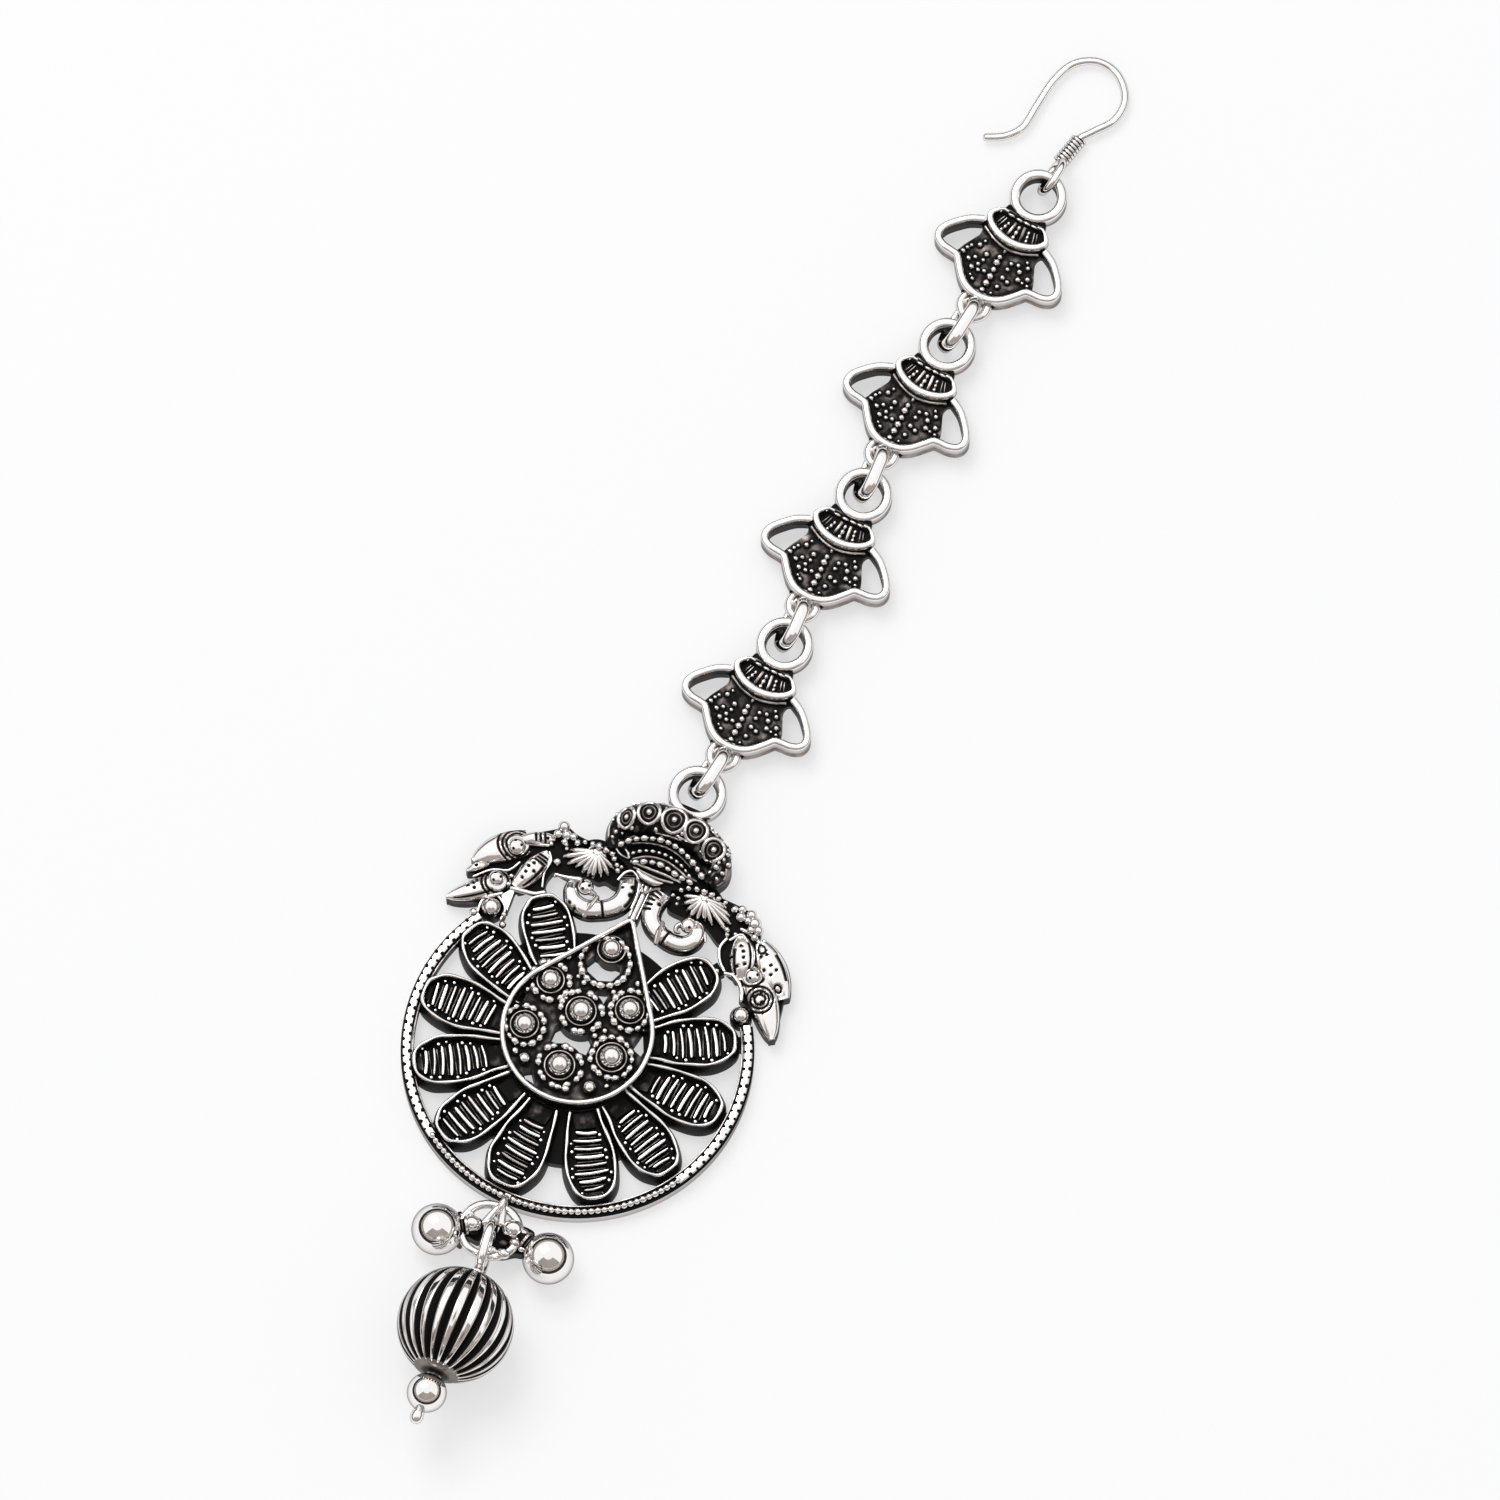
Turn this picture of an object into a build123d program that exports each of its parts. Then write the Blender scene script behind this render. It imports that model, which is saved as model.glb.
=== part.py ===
"""A maang tikka lying face up: openwork medallion, bead drop, four cast links and a wire hook.

Frame: millimetres. The origin is the middle of the medallion's back, on the surface that it
lies on. +Z is up, and +Y runs up the chain to the hook.
"""

import os
from math import cos, radians, sin, sqrt

from build123d import *

# ---------------------------------------------------------------- medallion sizes
RIM_OUTER_R = 17.6
RIM_BAND = 1.0
RIM_H = 1.9
RIM_OPEN_LEFT = (-30.6, 18.4)
RIM_OPEN_RIGHT = (30.4, 18.8)
SUNK_Z = 0.4            # raised layers start at this height, inside the flat base
HUB_R = 9.0

FLOWER_CENTRE = (-0.35, 0.0)
PETAL_COUNT = 11
PETAL_SPREAD = 288.0
PETAL_BELLY = (12.2, 2.65)
PETAL_END = (14.9, 1.6)
PETAL_ROOT = (7.4, 1.5, 0.3)
PETAL_WALL = 0.5
PETAL_FLOOR_H = 1.3
PETAL_WALL_H = 2.5
TIP_TAB = (1.4, 1.2)
RIB_COUNT = 8
RIB_FIRST_R = 8.7
RIB_PITCH = 0.85
RIB_WIDTH = 0.38
RIB_LENGTH = 3.6
RIB_H = 1.9

SETTING_CENTRE = (-0.55, 1.2)
SETTING_R = 7.75
SETTING_APEX = (-0.35, 13.7)
SETTING_APEX_R = 0.5
SETTING_WALL = 0.55
SETTING_FLOOR_H = 2.5
SETTING_WALL_H = 3.7
# Rosettes of the setting: x, y, dome radius, ring radius
ROSETTES = [
    (-5.2, 5.1, 0.95, 2.15),
    (-5.7, -0.2, 1.0, 2.2),
    (-1.1, 3.35, 1.1, 2.25),
    (3.3, 5.45, 1.0, 2.15),
    (3.65, 0.15, 1.1, 2.2),
    (-0.75, -2.7, 1.1, 2.35),
]
ROSETTE_INSET = 0.1
ROSETTE_H = 2.9
TOP_ROSETTE = (-1.0, 9.1, 2.85, 2.2)    # x, y, outer radius, inner radius
TOP_DOME = (-0.95, 10.5, 1.05)
SMALL_DOMES = [(-4.3, -3.4, 0.65), (2.9, -3.5, 0.7), (-4.6, 8.1, 0.45), (2.9, 8.4, 0.4)]
COLLAR_WIDTH = 0.35
COLLAR_H = 3.15
DOME_Z = 3.3
# Piercings between the rosettes: x, y, width, height
PIERCINGS = [(-0.95, 0.95, 4.4, 1.5), (-0.2, 5.9, 1.5, 1.9), (5.5, 2.9, 1.3, 1.5), (-3.3, -4.9, 1.4, 1.2)]
TOP_PIERCING = (-0.95, 8.6, 1.65, 1.15)

STEM_WIDTH = 1.3
STEM_H = 1.2
LEFT_STEM = [
    (-15.4, 8.8), (-13.8, 10.6), (-12.2, 13.6), (-12.9, 17.2), (-10.6, 19.9), (-6.4, 19.9), (-1.0, 20.2),
]
RIGHT_STEM = [
    (15.3, 9.0), (13.6, 10.2), (11.9, 13.8), (12.4, 17.4), (10.2, 19.4), (5.5, 19.7), (1.0, 20.2),
]
STEM_BALLS = [(-13.8, 10.4, 1.15), (13.5, 9.9, 1.0)]
STEM_BALL_Z = 1.6
# Leaves: start, end, width
LEAVES = [
    ((-14.4, 17.8), (-11.0, 19.6), 1.4),
    ((-17.4, 13.8), (-12.8, 17.8), 2.6),
    ((-12.6, 13.0), (-10.9, 17.4), 2.1),
    ((-18.3, 9.2), (-13.2, 13.9), 2.1),
    ((-17.7, 13.0), (-15.2, 13.9), 0.9),
    ((9.4, 17.3), (11.9, 13.1), 2.6),
    ((12.1, 17.5), (16.7, 13.0), 2.4),
    ((12.3, 14.6), (17.2, 8.7), 2.7),
]
LEAF_Z = 1.5
BLUNT_R = 0.1            # tips of leaves, lobes and beaks
BERRY_R = 0.5
BERRY_Z = 2.5
POST_SHARE = 0.8        # a post's radius as a share of its ball's
BERRIES = [
    (-10.9, 20.6), (-10.9, 19.75), (-10.0, 20.0),
    (9.1, 20.1), (9.4, 19.3), (10.1, 19.1), (10.6, 19.8), (11.0, 19.0),
]

BIRD_R = 0.85
BIRD_BASE_WIDTH = 1.2
BIRD_HEAD_WIDTH = 2.1
BIRD_Z = 2.3
# Birds: body corners, bend radii, beak tip, crest tip
BIRDS = [
    ([(-2.5, 19.4), (-1.7, 16.0), (-3.3, 14.2), (-6.0, 13.4), (-7.5, 15.4)], [1.3, 1.2, 1.2],
     (-4.5, 15.1), (-9.4, 15.8)),
    ([(1.4, 19.4), (0.5, 16.2), (1.6, 14.5), (4.9, 13.8), (6.1, 15.5)], [1.3, 1.1, 1.1],
     (3.8, 15.1), (7.6, 15.5)),
]

# Fans: x, y, angle of the first and of the last lobe
FANS = [(-6.4, 19.3, -195.0, -20.0), (5.5, 19.0, -175.0, 5.0)]
FAN_R = 2.9
FAN_BASE_R = 2.2
FAN_LOBES = 9
FAN_LOBE_WIDTH = 1.1
FAN_KNOB_R = 1.5
FAN_Z = 2.2

CAP_DISCS = [(-3.1, 23.5, 3.45), (-0.1, 23.2, 4.0), (3.0, 23.4, 3.4)]
CAP_HALF_LENGTH = 7.7
CAP_HALF_WIDTH = 4.4
CAP_CENTRE = (-0.1, 23.3, 0.9)
CAP_ARCH = [(-5.2, 19.4), (-0.1, 23.2), (5.0, 19.4)]
CAP_ARCH_Z = 2.3
# Stepped bands of the neck below the cap: half length, middle y, end y, width, top
NECK_BANDS = [(3.4, 22.1, 21.1, 0.9, 3.4), (2.8, 21.0, 20.3, 0.9, 3.2), (2.3, 19.9, 19.5, 0.9, 2.9)]
NECK_X = 0.1
NECK_STEM = (-0.6, 17.0, 0.9, 6.6)

TOP_RING_CENTRE = (0.1, 29.2)
RING_OUTER_R = 2.95
RING_INNER_R = 1.9
RING_Z = 1.1
RING_H = 1.4
RING_ROOT = 2.6

LUG_Y = -18.4
LUG_Z = 2.6
LUG_R = 0.95
LUG_WIRE_R = 0.3
LUG_POST = (-17.35, 0.75, 1.7)      # y, length along y, height down from the lug's middle

# ---------------------------------------------------------------- ball ring sizes
BALL_RING_CENTRE = (-0.1, -20.95)
BALL_RING_TURN = 8.6
BALL_RING_WIRE_R = 0.375
BALL_RING_BEND_R = 2.55
BALL_RING_STRAIGHT = 0.9
BALL_R = 2.6
BALL_NECK_R = 0.6
# Big ball x, y, then small ball x, y, radius
BALL_PAIRS = [(-4.95, -23.2, -2.0, -21.4, 0.9), (6.4, -21.55, 2.05, -20.55, 1.0)]

# ---------------------------------------------------------------- drop sizes
BEAD_CENTRE = (1.2, -32.5)
BEAD_R = 5.85
BEAD_HEADING = 2.8
BEAD_RISE = 5.0
BEAD_RIBS = 22
GROOVE_R = 0.3
GROOVE_ARC = 130.0
BEAD_BORE_R = 0.6
BEAD_POLE = 5.6
DROP_BALL_AT = 7.85
DROP_BALL_R = 2.0
PIN_R = 0.4
TIP_AT = 10.55
TIP_R = 0.7
PIN_LOOP_CENTRE = (0.42, -23.25, 3.45)
PIN_LOOP_HEADING = 8.5
PIN_LOOP_BEND_R = 1.85
PIN_LOOP_STRAIGHT = 1.6
PIN_LOOP_TILT = 14.0

# ---------------------------------------------------------------- chain sizes
# Links from the hook down: ring centre x, y, lean in degrees
LINKS = [(5.75, 100.45, 6.0), (3.75, 82.4, 6.5), (2.52, 64.55, 4.1), (1.72, 46.95, 4.3)]
LINK_Z = 1.1
LINK_RING_R = 2.9
LINK_FLOOR = 0.9
LINK_WALL = 0.65
OPENING_WALL = 0.52
LINK_WALL_H = 1.8
LINK_OUTLINE = [(3.3, -4.3), (7.45, -7.75), (6.9, -9.5), (4.3, -9.4), (2.0, -11.55)]
LINK_ROUND = 0.8
OPENING_ROUND = 0.25
LINK_TIP_Y = -11.7
LINK_OPENING = [(3.65, -5.7), (6.15, -7.9), (5.9, -8.75), (4.2, -8.7), (3.2, -6.7)]
COLLAR_HALF = 3.5
COLLAR_TOP_Y = -2.5
COLLAR_MID_Y = -4.1
COLLAR_LOW_Y = -5.9
COLLAR_WALL = 0.6
COLLAR_WALL_H = 2.1
COLLAR_RIBS = 5
COLLAR_RIB_SIZE = (0.3, 2.2)
COLLAR_RIB_PITCH = 0.95
COLLAR_RIB_Y = -4.85
COLLAR_RIB_RISE = 0.2    # each rib away from the middle sits higher by this
COLLAR_RIB_SPLAY = 14.0
LINK_NECK = (4.4, 1.4)
EYELET_Y = -12.7
EYELET_OUTER_R = 1.75
EYELET_INNER_R = 0.92
LINK_BEADS = 7
LINK_BEAD_R = 0.34
LINK_BEAD_FIRST_Y = -7.0
LINK_BEAD_PITCH = 0.6

JUMP_WIRE_R = 0.45
JUMP_BEND_R = 1.75
JUMP_SLACK = 3.05        # how much longer the way between two rings is than the straight runs
JUMP_TILT = 17.0
JUMP_SIDE = 0.15
JUMP_LIFT = 0.02

# ---------------------------------------------------------------- hook sizes
HOOK_WIRE_R = 0.4
HOOK_Z = 0.82
HOOK_CORNERS = [
    (-1.5, 104.1), (1.25, 105.5), (2.0, 116.1), (9.75, 116.1), (9.55, 111.4), (6.95, 108.2), (6.45, 104.9),
]
HOOK_RADII = [2.2, 3.7, 3.6, 2.6, 1.0]
COIL_CORE_R = 0.62
COIL_R = 0.78
COIL_TURNS = 8
COIL_PITCH = 0.4
EYE_CENTRE = (6.08, 103.15, 1.8)
EYE_HEADING = 7.0
EYE_BEND_R = 1.45
EYE_STRAIGHT = 0.8
EYE_TILT = 22.0


def leaf_face(start, end, width):
    """A flat pointed oval between two points."""
    axis = Vector(*end) - Vector(*start)
    middle = Vector(*start) + axis * 0.5
    side = Vector(-axis.Y, axis.X).normalized() * (width / 2)
    with BuildSketch() as face:
        with BuildLine():
            ThreePointArc(start, middle + side, end)
            ThreePointArc(end, middle - side, start)
        make_face()
    return face.sketch


def track_face(corners, width):
    """A flat band along a few points."""
    with BuildSketch() as track:
        with BuildLine():
            Polyline(*corners)
        trace(line_width=width)
    return track.sketch


def spindle(start, end, width, height):
    """A solid leaf, lobe or beak: a pointed oval turned about its own long axis, its tips blunt."""
    axis = Vector(*end) - Vector(*start)
    fullness = (width / 2 - BLUNT_R / 4) / 0.75
    place = Plane(origin=(start[0], start[1], height), x_dir=(axis.X, axis.Y, 0), z_dir=(axis.Y, -axis.X, 0))
    with BuildPart() as body:
        with BuildSketch(place):
            with BuildLine():
                Line((0, 0), (0, BLUNT_R))
                Bezier(
                    (0, BLUNT_R),
                    (axis.length * 0.25, fullness),
                    (axis.length * 0.75, fullness),
                    (axis.length, BLUNT_R),
                )
                Polyline((axis.length, BLUNT_R), (axis.length, 0), (0, 0))
            make_face()
        revolve(axis=Axis(place.origin, place.x_dir))
    return body.part


def level_wire(corners, bend_radii, wire_r, height):
    """A round wire lying level along straight runs joined by arcs."""
    with BuildPart() as body:
        with BuildLine() as route:
            FilletPolyline(*[(x, y, height) for x, y in corners], radius=bend_radii)
        with BuildSketch(Plane(origin=route.wire() @ 0, z_dir=route.wire() % 0)):
            Circle(wire_r)
        sweep(path=route.wire())
    return body.part


def oval_wire(place, bend_r, straight, wire_r):
    """A closed round wire of two half turns and two straight runs, in a plane's own axes."""
    half = straight / 2
    with BuildPart() as body:
        for side in (1, -1):
            with BuildSketch(Plane(origin=place.from_local_coords((0, side * bend_r, 0)), z_dir=place.x_dir)):
                Circle(wire_r)
            extrude(amount=half, both=True)
            end = Plane(
                origin=place.from_local_coords((side * half, 0, 0)),
                x_dir=-side * place.y_dir,
                z_dir=place.z_dir,
            )
            with Locations(end.location):
                Torus(bend_r, wire_r, major_angle=180, align=None)
    return body.part


def upright(centre, heading, tilt):
    """An upright plane whose x axis runs along a heading from +Y, leaning to the side."""
    run = Vector(-sin(radians(heading)), cos(radians(heading)), 0)
    side = Vector(cos(radians(heading)), sin(radians(heading)), 0)
    normal = side * cos(radians(tilt)) - Vector(0, 0, 1) * sin(radians(tilt))
    return Plane(origin=centre, x_dir=run, z_dir=normal)


def ball(x, y, z, radius):
    """A round ball."""
    with BuildPart() as body:
        with Locations((x, y, z)):
            Sphere(radius)
    return body.part


def post(x, y, height, radius):
    """A round post standing on the surface, to carry a ball."""
    with BuildPart() as body:
        with BuildSketch():
            with Locations((x, y)):
                Circle(radius)
        extrude(amount=height)
    return body.part


def ball_pair(big, small, small_r):
    """A large and a small ball on one straight neck, turned in one piece."""
    run = Vector(*small) - Vector(*big)
    place = Plane(origin=big, x_dir=run, z_dir=(run.Y, -run.X, 0))
    neck_start = sqrt(BALL_R**2 - BALL_NECK_R**2)
    neck_end = run.length - sqrt(small_r**2 - BALL_NECK_R**2)
    far_end = run.length + small_r
    with BuildPart() as body:
        with BuildSketch(place):
            with BuildLine():
                ThreePointArc((-BALL_R, 0), (0, BALL_R), (neck_start, BALL_NECK_R))
                Line((neck_start, BALL_NECK_R), (neck_end, BALL_NECK_R))
                ThreePointArc((neck_end, BALL_NECK_R), (run.length, small_r), (far_end, 0))
                Line((far_end, 0), (-BALL_R, 0))
            make_face()
        revolve(axis=Axis(place.origin, place.x_dir))
    return body.part


def rod(start, end, wire_r):
    """A straight round rod with ball ends between two points."""
    run = Vector(*end) - Vector(*start)
    with BuildPart() as body:
        with BuildSketch(Plane(origin=start, z_dir=run)):
            Circle(wire_r)
        extrude(amount=run.length)
        with Locations(start, end):
            Sphere(wire_r)
    return body.part


# ---------------------------------------------------------------- medallion profiles
def flower_places():
    """The turns of the petals about the middle of the flower."""
    return PolarLocations(0, PETAL_COUNT, -90 - PETAL_SPREAD / 2, PETAL_SPREAD, endpoint=True)


with BuildSketch() as petal_outline:
    with Locations((PETAL_BELLY[0], 0)):
        Circle(PETAL_BELLY[1])
    with Locations((PETAL_END[0], 0)):
        Circle(PETAL_END[1])
    with Locations((PETAL_ROOT[0], PETAL_ROOT[1]), (PETAL_ROOT[0], -PETAL_ROOT[1])):
        Circle(PETAL_ROOT[2])
    make_hull()

with BuildSketch() as petal_wall:
    add(petal_outline.sketch)
    offset(amount=-PETAL_WALL, mode=Mode.SUBTRACT)

with BuildSketch() as petal_ribs:
    for rib in range(RIB_COUNT):
        with Locations((RIB_FIRST_R + rib * RIB_PITCH, 0)):
            Rectangle(RIB_WIDTH, RIB_LENGTH)

with BuildSketch() as setting_outline:
    with Locations(SETTING_CENTRE):
        Circle(SETTING_R)
    with Locations(SETTING_APEX):
        Circle(SETTING_APEX_R)
    make_hull()

with BuildSketch() as piercings:
    for x, y, width, height in PIERCINGS:
        with Locations((x, y)):
            Rectangle(width, height)
    for x, y, dome_r, ring_r in ROSETTES:
        with Locations((x, y)):
            Circle(ring_r, mode=Mode.SUBTRACT)
    with Locations((TOP_PIERCING[0], TOP_PIERCING[1])):
        Ellipse(TOP_PIERCING[2], TOP_PIERCING[3])

# ---------------------------------------------------------------- turban cap of the medallion
with BuildSketch() as cap_outline:
    for x, y, disc_r in CAP_DISCS:
        with Locations((x, y)):
            Circle(disc_r)
    make_hull()

with BuildPart() as cap_dome:
    with BuildSketch(Plane(origin=CAP_CENTRE, z_dir=(0, 0, 1))):
        with BuildLine():
            arc = EllipticalCenterArc((0, 0), CAP_HALF_LENGTH, CAP_HALF_WIDTH, start_angle=0, arc_size=180)
            Line(arc @ 0, arc @ 1)
        make_face()
    revolve(axis=Axis(CAP_CENTRE, (1, 0, 0)))

with BuildPart() as cap:
    add(cap_outline.sketch)
    extrude(amount=CAP_CENTRE[2] + CAP_HALF_WIDTH)
    add(cap_dome.part, mode=Mode.INTERSECT)
    with BuildSketch(Plane.XY.offset(CAP_ARCH_Z)):
        with BuildLine():
            ThreePointArc(*CAP_ARCH)
            Line(CAP_ARCH[2], CAP_ARCH[0])
        make_face()
    extrude(amount=CAP_HALF_WIDTH, mode=Mode.SUBTRACT)

# ---------------------------------------------------------------- medallion plates
# Flat base: rim, hub, petals, stems, birds, leaves
with BuildPart() as rim:
    with BuildSketch():
        Circle(RIM_OUTER_R)
        Circle(RIM_OUTER_R - RIM_BAND, mode=Mode.SUBTRACT)
        with BuildLine():
            Polyline((0, 0), RIM_OPEN_LEFT, (0, 40), RIM_OPEN_RIGHT, close=True)
        make_face(mode=Mode.SUBTRACT)
    extrude(amount=RIM_H)

with BuildPart() as hub:
    with BuildSketch():
        with Locations(FLOWER_CENTRE):
            Circle(HUB_R)
        add(track_face(LEFT_STEM, STEM_WIDTH))
        add(track_face(RIGHT_STEM, STEM_WIDTH))
        for corners, bends, beak, crest in BIRDS:
            add(track_face(corners, BIRD_BASE_WIDTH))
        for start, end, width in LEAVES:
            add(leaf_face(start, end, width))
        for x, y, first, last in FANS:
            with Locations((x, y)):
                Circle(FAN_BASE_R)
        with Locations(NECK_STEM[:2]):
            Rectangle(*NECK_STEM[2:])
    extrude(amount=STEM_H)

with BuildPart() as petal_floors:
    with BuildSketch():
        with Locations(FLOWER_CENTRE):
            with flower_places():
                add(petal_outline.sketch)
                with Locations((PETAL_END[0] + PETAL_END[1], 0)):
                    Rectangle(*TIP_TAB)
    extrude(amount=PETAL_FLOOR_H)

with BuildPart() as petal_walls:
    with BuildSketch(Plane.XY.offset(SUNK_Z)):
        with Locations(FLOWER_CENTRE):
            with flower_places():
                add(petal_wall.sketch)
        with Locations(NECK_STEM[:2]):
            Rectangle(*NECK_STEM[2:])
    extrude(amount=PETAL_WALL_H - SUNK_Z)

with BuildPart() as ribs:
    with BuildSketch(Plane.XY.offset(SUNK_Z)):
        with Locations(FLOWER_CENTRE):
            with flower_places():
                add(petal_ribs.sketch)
    extrude(amount=RIB_H - SUNK_Z)

with BuildPart() as neck:
    for half, middle_y, end_y, width, top in NECK_BANDS:
        with BuildSketch():
            with BuildLine():
                ThreePointArc((NECK_X - half, end_y), (NECK_X, middle_y), (NECK_X + half, end_y))
            trace(line_width=width)
        extrude(amount=top)

with BuildPart() as top_ring:
    with BuildSketch(Plane.XY.offset(RING_Z)):
        with Locations(TOP_RING_CENTRE):
            Circle(RING_OUTER_R)
        with Locations((TOP_RING_CENTRE[0], TOP_RING_CENTRE[1] - RING_OUTER_R)):
            Rectangle(RING_ROOT, RING_ROOT)
        with Locations(TOP_RING_CENTRE):
            Circle(RING_INNER_R, mode=Mode.SUBTRACT)
    extrude(amount=RING_H)

# Teardrop setting: floor, wall, rosettes, collars and domes, then its piercings
domes = [TOP_DOME] + [(x, y, dome_r) for x, y, dome_r, ring_r in ROSETTES]
with BuildPart() as setting:
    add(setting_outline.sketch)
    extrude(amount=SETTING_FLOOR_H)
    with BuildSketch(Plane.XY.offset(SUNK_Z)):
        add(setting_outline.sketch)
        offset(amount=-SETTING_WALL, mode=Mode.SUBTRACT)
    extrude(amount=SETTING_WALL_H - SUNK_Z)
    with BuildSketch(Plane.XY.offset(SUNK_Z)):
        with Locations(TOP_ROSETTE[:2]):
            Circle(TOP_ROSETTE[2])
            Circle(TOP_ROSETTE[3], mode=Mode.SUBTRACT)
        for x, y, dome_r, ring_r in ROSETTES:
            with Locations((x, y)):
                Circle(ring_r - ROSETTE_INSET)
    extrude(amount=ROSETTE_H - SUNK_Z)
    with BuildSketch(Plane.XY.offset(SUNK_Z)):
        for x, y, dome_r in domes:
            with Locations((x, y)):
                Circle(dome_r + COLLAR_WIDTH)
    extrude(amount=COLLAR_H - SUNK_Z)
    for x, y, dome_r in domes:
        with Locations((x, y, DOME_Z)):
            Sphere(dome_r)
    for x, y, dome_r in SMALL_DOMES:
        with Locations((x, y, SETTING_FLOOR_H + dome_r / 2)):
            Sphere(dome_r)
    add(piercings.sketch)
    extrude(amount=ROSETTE_H, mode=Mode.SUBTRACT)

# ---------------------------------------------------------------- medallion forms in the round
with BuildPart() as leaves:
    forms = [spindle(start, end, width, LEAF_Z) for start, end, width in LEAVES]
    for x, y in BERRIES:
        forms += [ball(x, y, BERRY_Z, BERRY_R), post(x, y, BERRY_Z, BERRY_R * POST_SHARE)]
    for x, y, ball_r in STEM_BALLS:
        forms += [ball(x, y, STEM_BALL_Z, ball_r), post(x, y, STEM_BALL_Z, ball_r * POST_SHARE)]
    add(forms)

with BuildPart() as birds:
    for corners, bends, beak, crest in BIRDS:
        add(level_wire(corners, bends, BIRD_R, BIRD_Z))
        add(spindle(beak, crest, BIRD_HEAD_WIDTH, BIRD_Z))

with BuildPart() as fans:
    for x, y, first, last in FANS:
        forms = [ball(x, y, FAN_Z, FAN_KNOB_R)]
        for lobe in range(FAN_LOBES):
            angle = radians(first + (last - first) * lobe / (FAN_LOBES - 1))
            tip = (x + FAN_R * cos(angle), y + FAN_R * sin(angle))
            forms.append(spindle((x, y), tip, FAN_LOBE_WIDTH, FAN_Z))
        add(forms)

# Lug below the rim: an upright eye on a short post
with BuildPart() as lug:
    with Locations(Location((0, LUG_Y, LUG_Z), (0, 90, 0))):
        Torus(LUG_R, LUG_WIRE_R)
    with Locations((0, LUG_POST[0], LUG_Z - LUG_POST[2] / 2)):
        Box(LUG_WIRE_R * 2, LUG_POST[1], LUG_POST[2])

with BuildPart() as crown:
    add(cap.part)
    add([neck.part, top_ring.part])

with BuildPart() as medallion:
    add(hub.part)
    add([rim.part, petal_floors.part])
    add(petal_walls.part)
    add(ribs.part)
    add([crown.part, setting.part, lug.part])
    add(leaves.part)
    add(birds.part)
    add(fans.part)
medallion.part.label = "medallion"

# ---------------------------------------------------------------- ball ring
ring_plane = Plane(
    origin=(*BALL_RING_CENTRE, BALL_R),
    x_dir=(cos(radians(BALL_RING_TURN)), sin(radians(BALL_RING_TURN)), 0),
    z_dir=(0, 0, 1),
)
with BuildPart() as ball_ring:
    add(oval_wire(ring_plane, BALL_RING_BEND_R, BALL_RING_STRAIGHT, BALL_RING_WIRE_R))
    for big_x, big_y, small_x, small_y, small_r in BALL_PAIRS:
        add(ball_pair((big_x, big_y, BALL_R), (small_x, small_y, BALL_R), small_r))
ball_ring.part.label = "ball_ring"

# ---------------------------------------------------------------- drop
drop_axis = Vector(
    sin(radians(BEAD_HEADING)) * cos(radians(BEAD_RISE)),
    -cos(radians(BEAD_HEADING)) * cos(radians(BEAD_RISE)),
    sin(radians(BEAD_RISE)),
)
bead_middle = Vector(*BEAD_CENTRE, BEAD_R)
bead_side = drop_axis.cross(Vector(0, 0, 1)).normalized()
bead_top = bead_side.cross(drop_axis)


def along_drop(distance):
    """A place on the drop's axis, measured from the bead's middle towards the tip."""
    return Plane(origin=bead_middle + drop_axis * distance, x_dir=bead_side, z_dir=drop_axis).location


with BuildPart() as melon_bead:
    with Locations(along_drop(0)):
        Sphere(BEAD_R)
        Cylinder(BEAD_R * 1.2, BEAD_POLE * 2, mode=Mode.INTERSECT)
        Cylinder(BEAD_BORE_R, BEAD_R * 3, mode=Mode.SUBTRACT)
    for groove in range(BEAD_RIBS):
        turn = radians(360 * groove / BEAD_RIBS)
        out = bead_side * cos(turn) + bead_top * sin(turn)
        across = drop_axis.cross(out)
        start = out.rotate(Axis((0, 0, 0), across), -GROOVE_ARC / 2)
        with Locations(Plane(origin=bead_middle, x_dir=start, z_dir=across).location):
            Torus(BEAD_R, GROOVE_R, major_angle=GROOVE_ARC, align=None, mode=Mode.SUBTRACT)
melon_bead.part.label = "melon_bead"

with BuildPart() as drop_ball:
    with Locations(along_drop(DROP_BALL_AT)):
        Sphere(DROP_BALL_R)
        Cylinder(BEAD_BORE_R, DROP_BALL_R * 3, mode=Mode.SUBTRACT)
drop_ball.part.label = "drop_ball"

loop_plane = upright(PIN_LOOP_CENTRE, PIN_LOOP_HEADING + 180, PIN_LOOP_TILT)
with BuildPart() as drop_pin:
    add(oval_wire(loop_plane, PIN_LOOP_BEND_R, PIN_LOOP_STRAIGHT, PIN_R))
    stem_start = bead_middle - drop_axis * (BEAD_R + PIN_R)
    loop_joint = loop_plane.from_local_coords((PIN_LOOP_STRAIGHT / 2, PIN_LOOP_BEND_R, 0))
    add(rod(loop_joint, stem_start, PIN_R))
    add(rod(stem_start, bead_middle + drop_axis * TIP_AT, PIN_R))
    with Locations(along_drop(TIP_AT)):
        Sphere(TIP_R)
drop_pin.part.label = "drop_pin"


# ---------------------------------------------------------------- chain links
def outline_face():
    """The closed outline of a link's body, both sides of its middle line."""
    right = [Vector(x, y) for x, y in LINK_OUTLINE]
    left = [Vector(-x, y) for x, y in reversed(LINK_OUTLINE)]
    with BuildSketch() as face:
        with BuildLine():
            FilletPolyline(*right, (0, LINK_TIP_Y), *left, close=True, radius=LINK_ROUND)
        make_face()
    return face.sketch


def opening_face(side):
    """The opening between a link's body and its side loop."""
    with BuildSketch() as face:
        with BuildLine():
            FilletPolyline(*[(side * x, y) for x, y in LINK_OPENING], close=True, radius=OPENING_ROUND)
        make_face()
    return face.sketch


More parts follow.
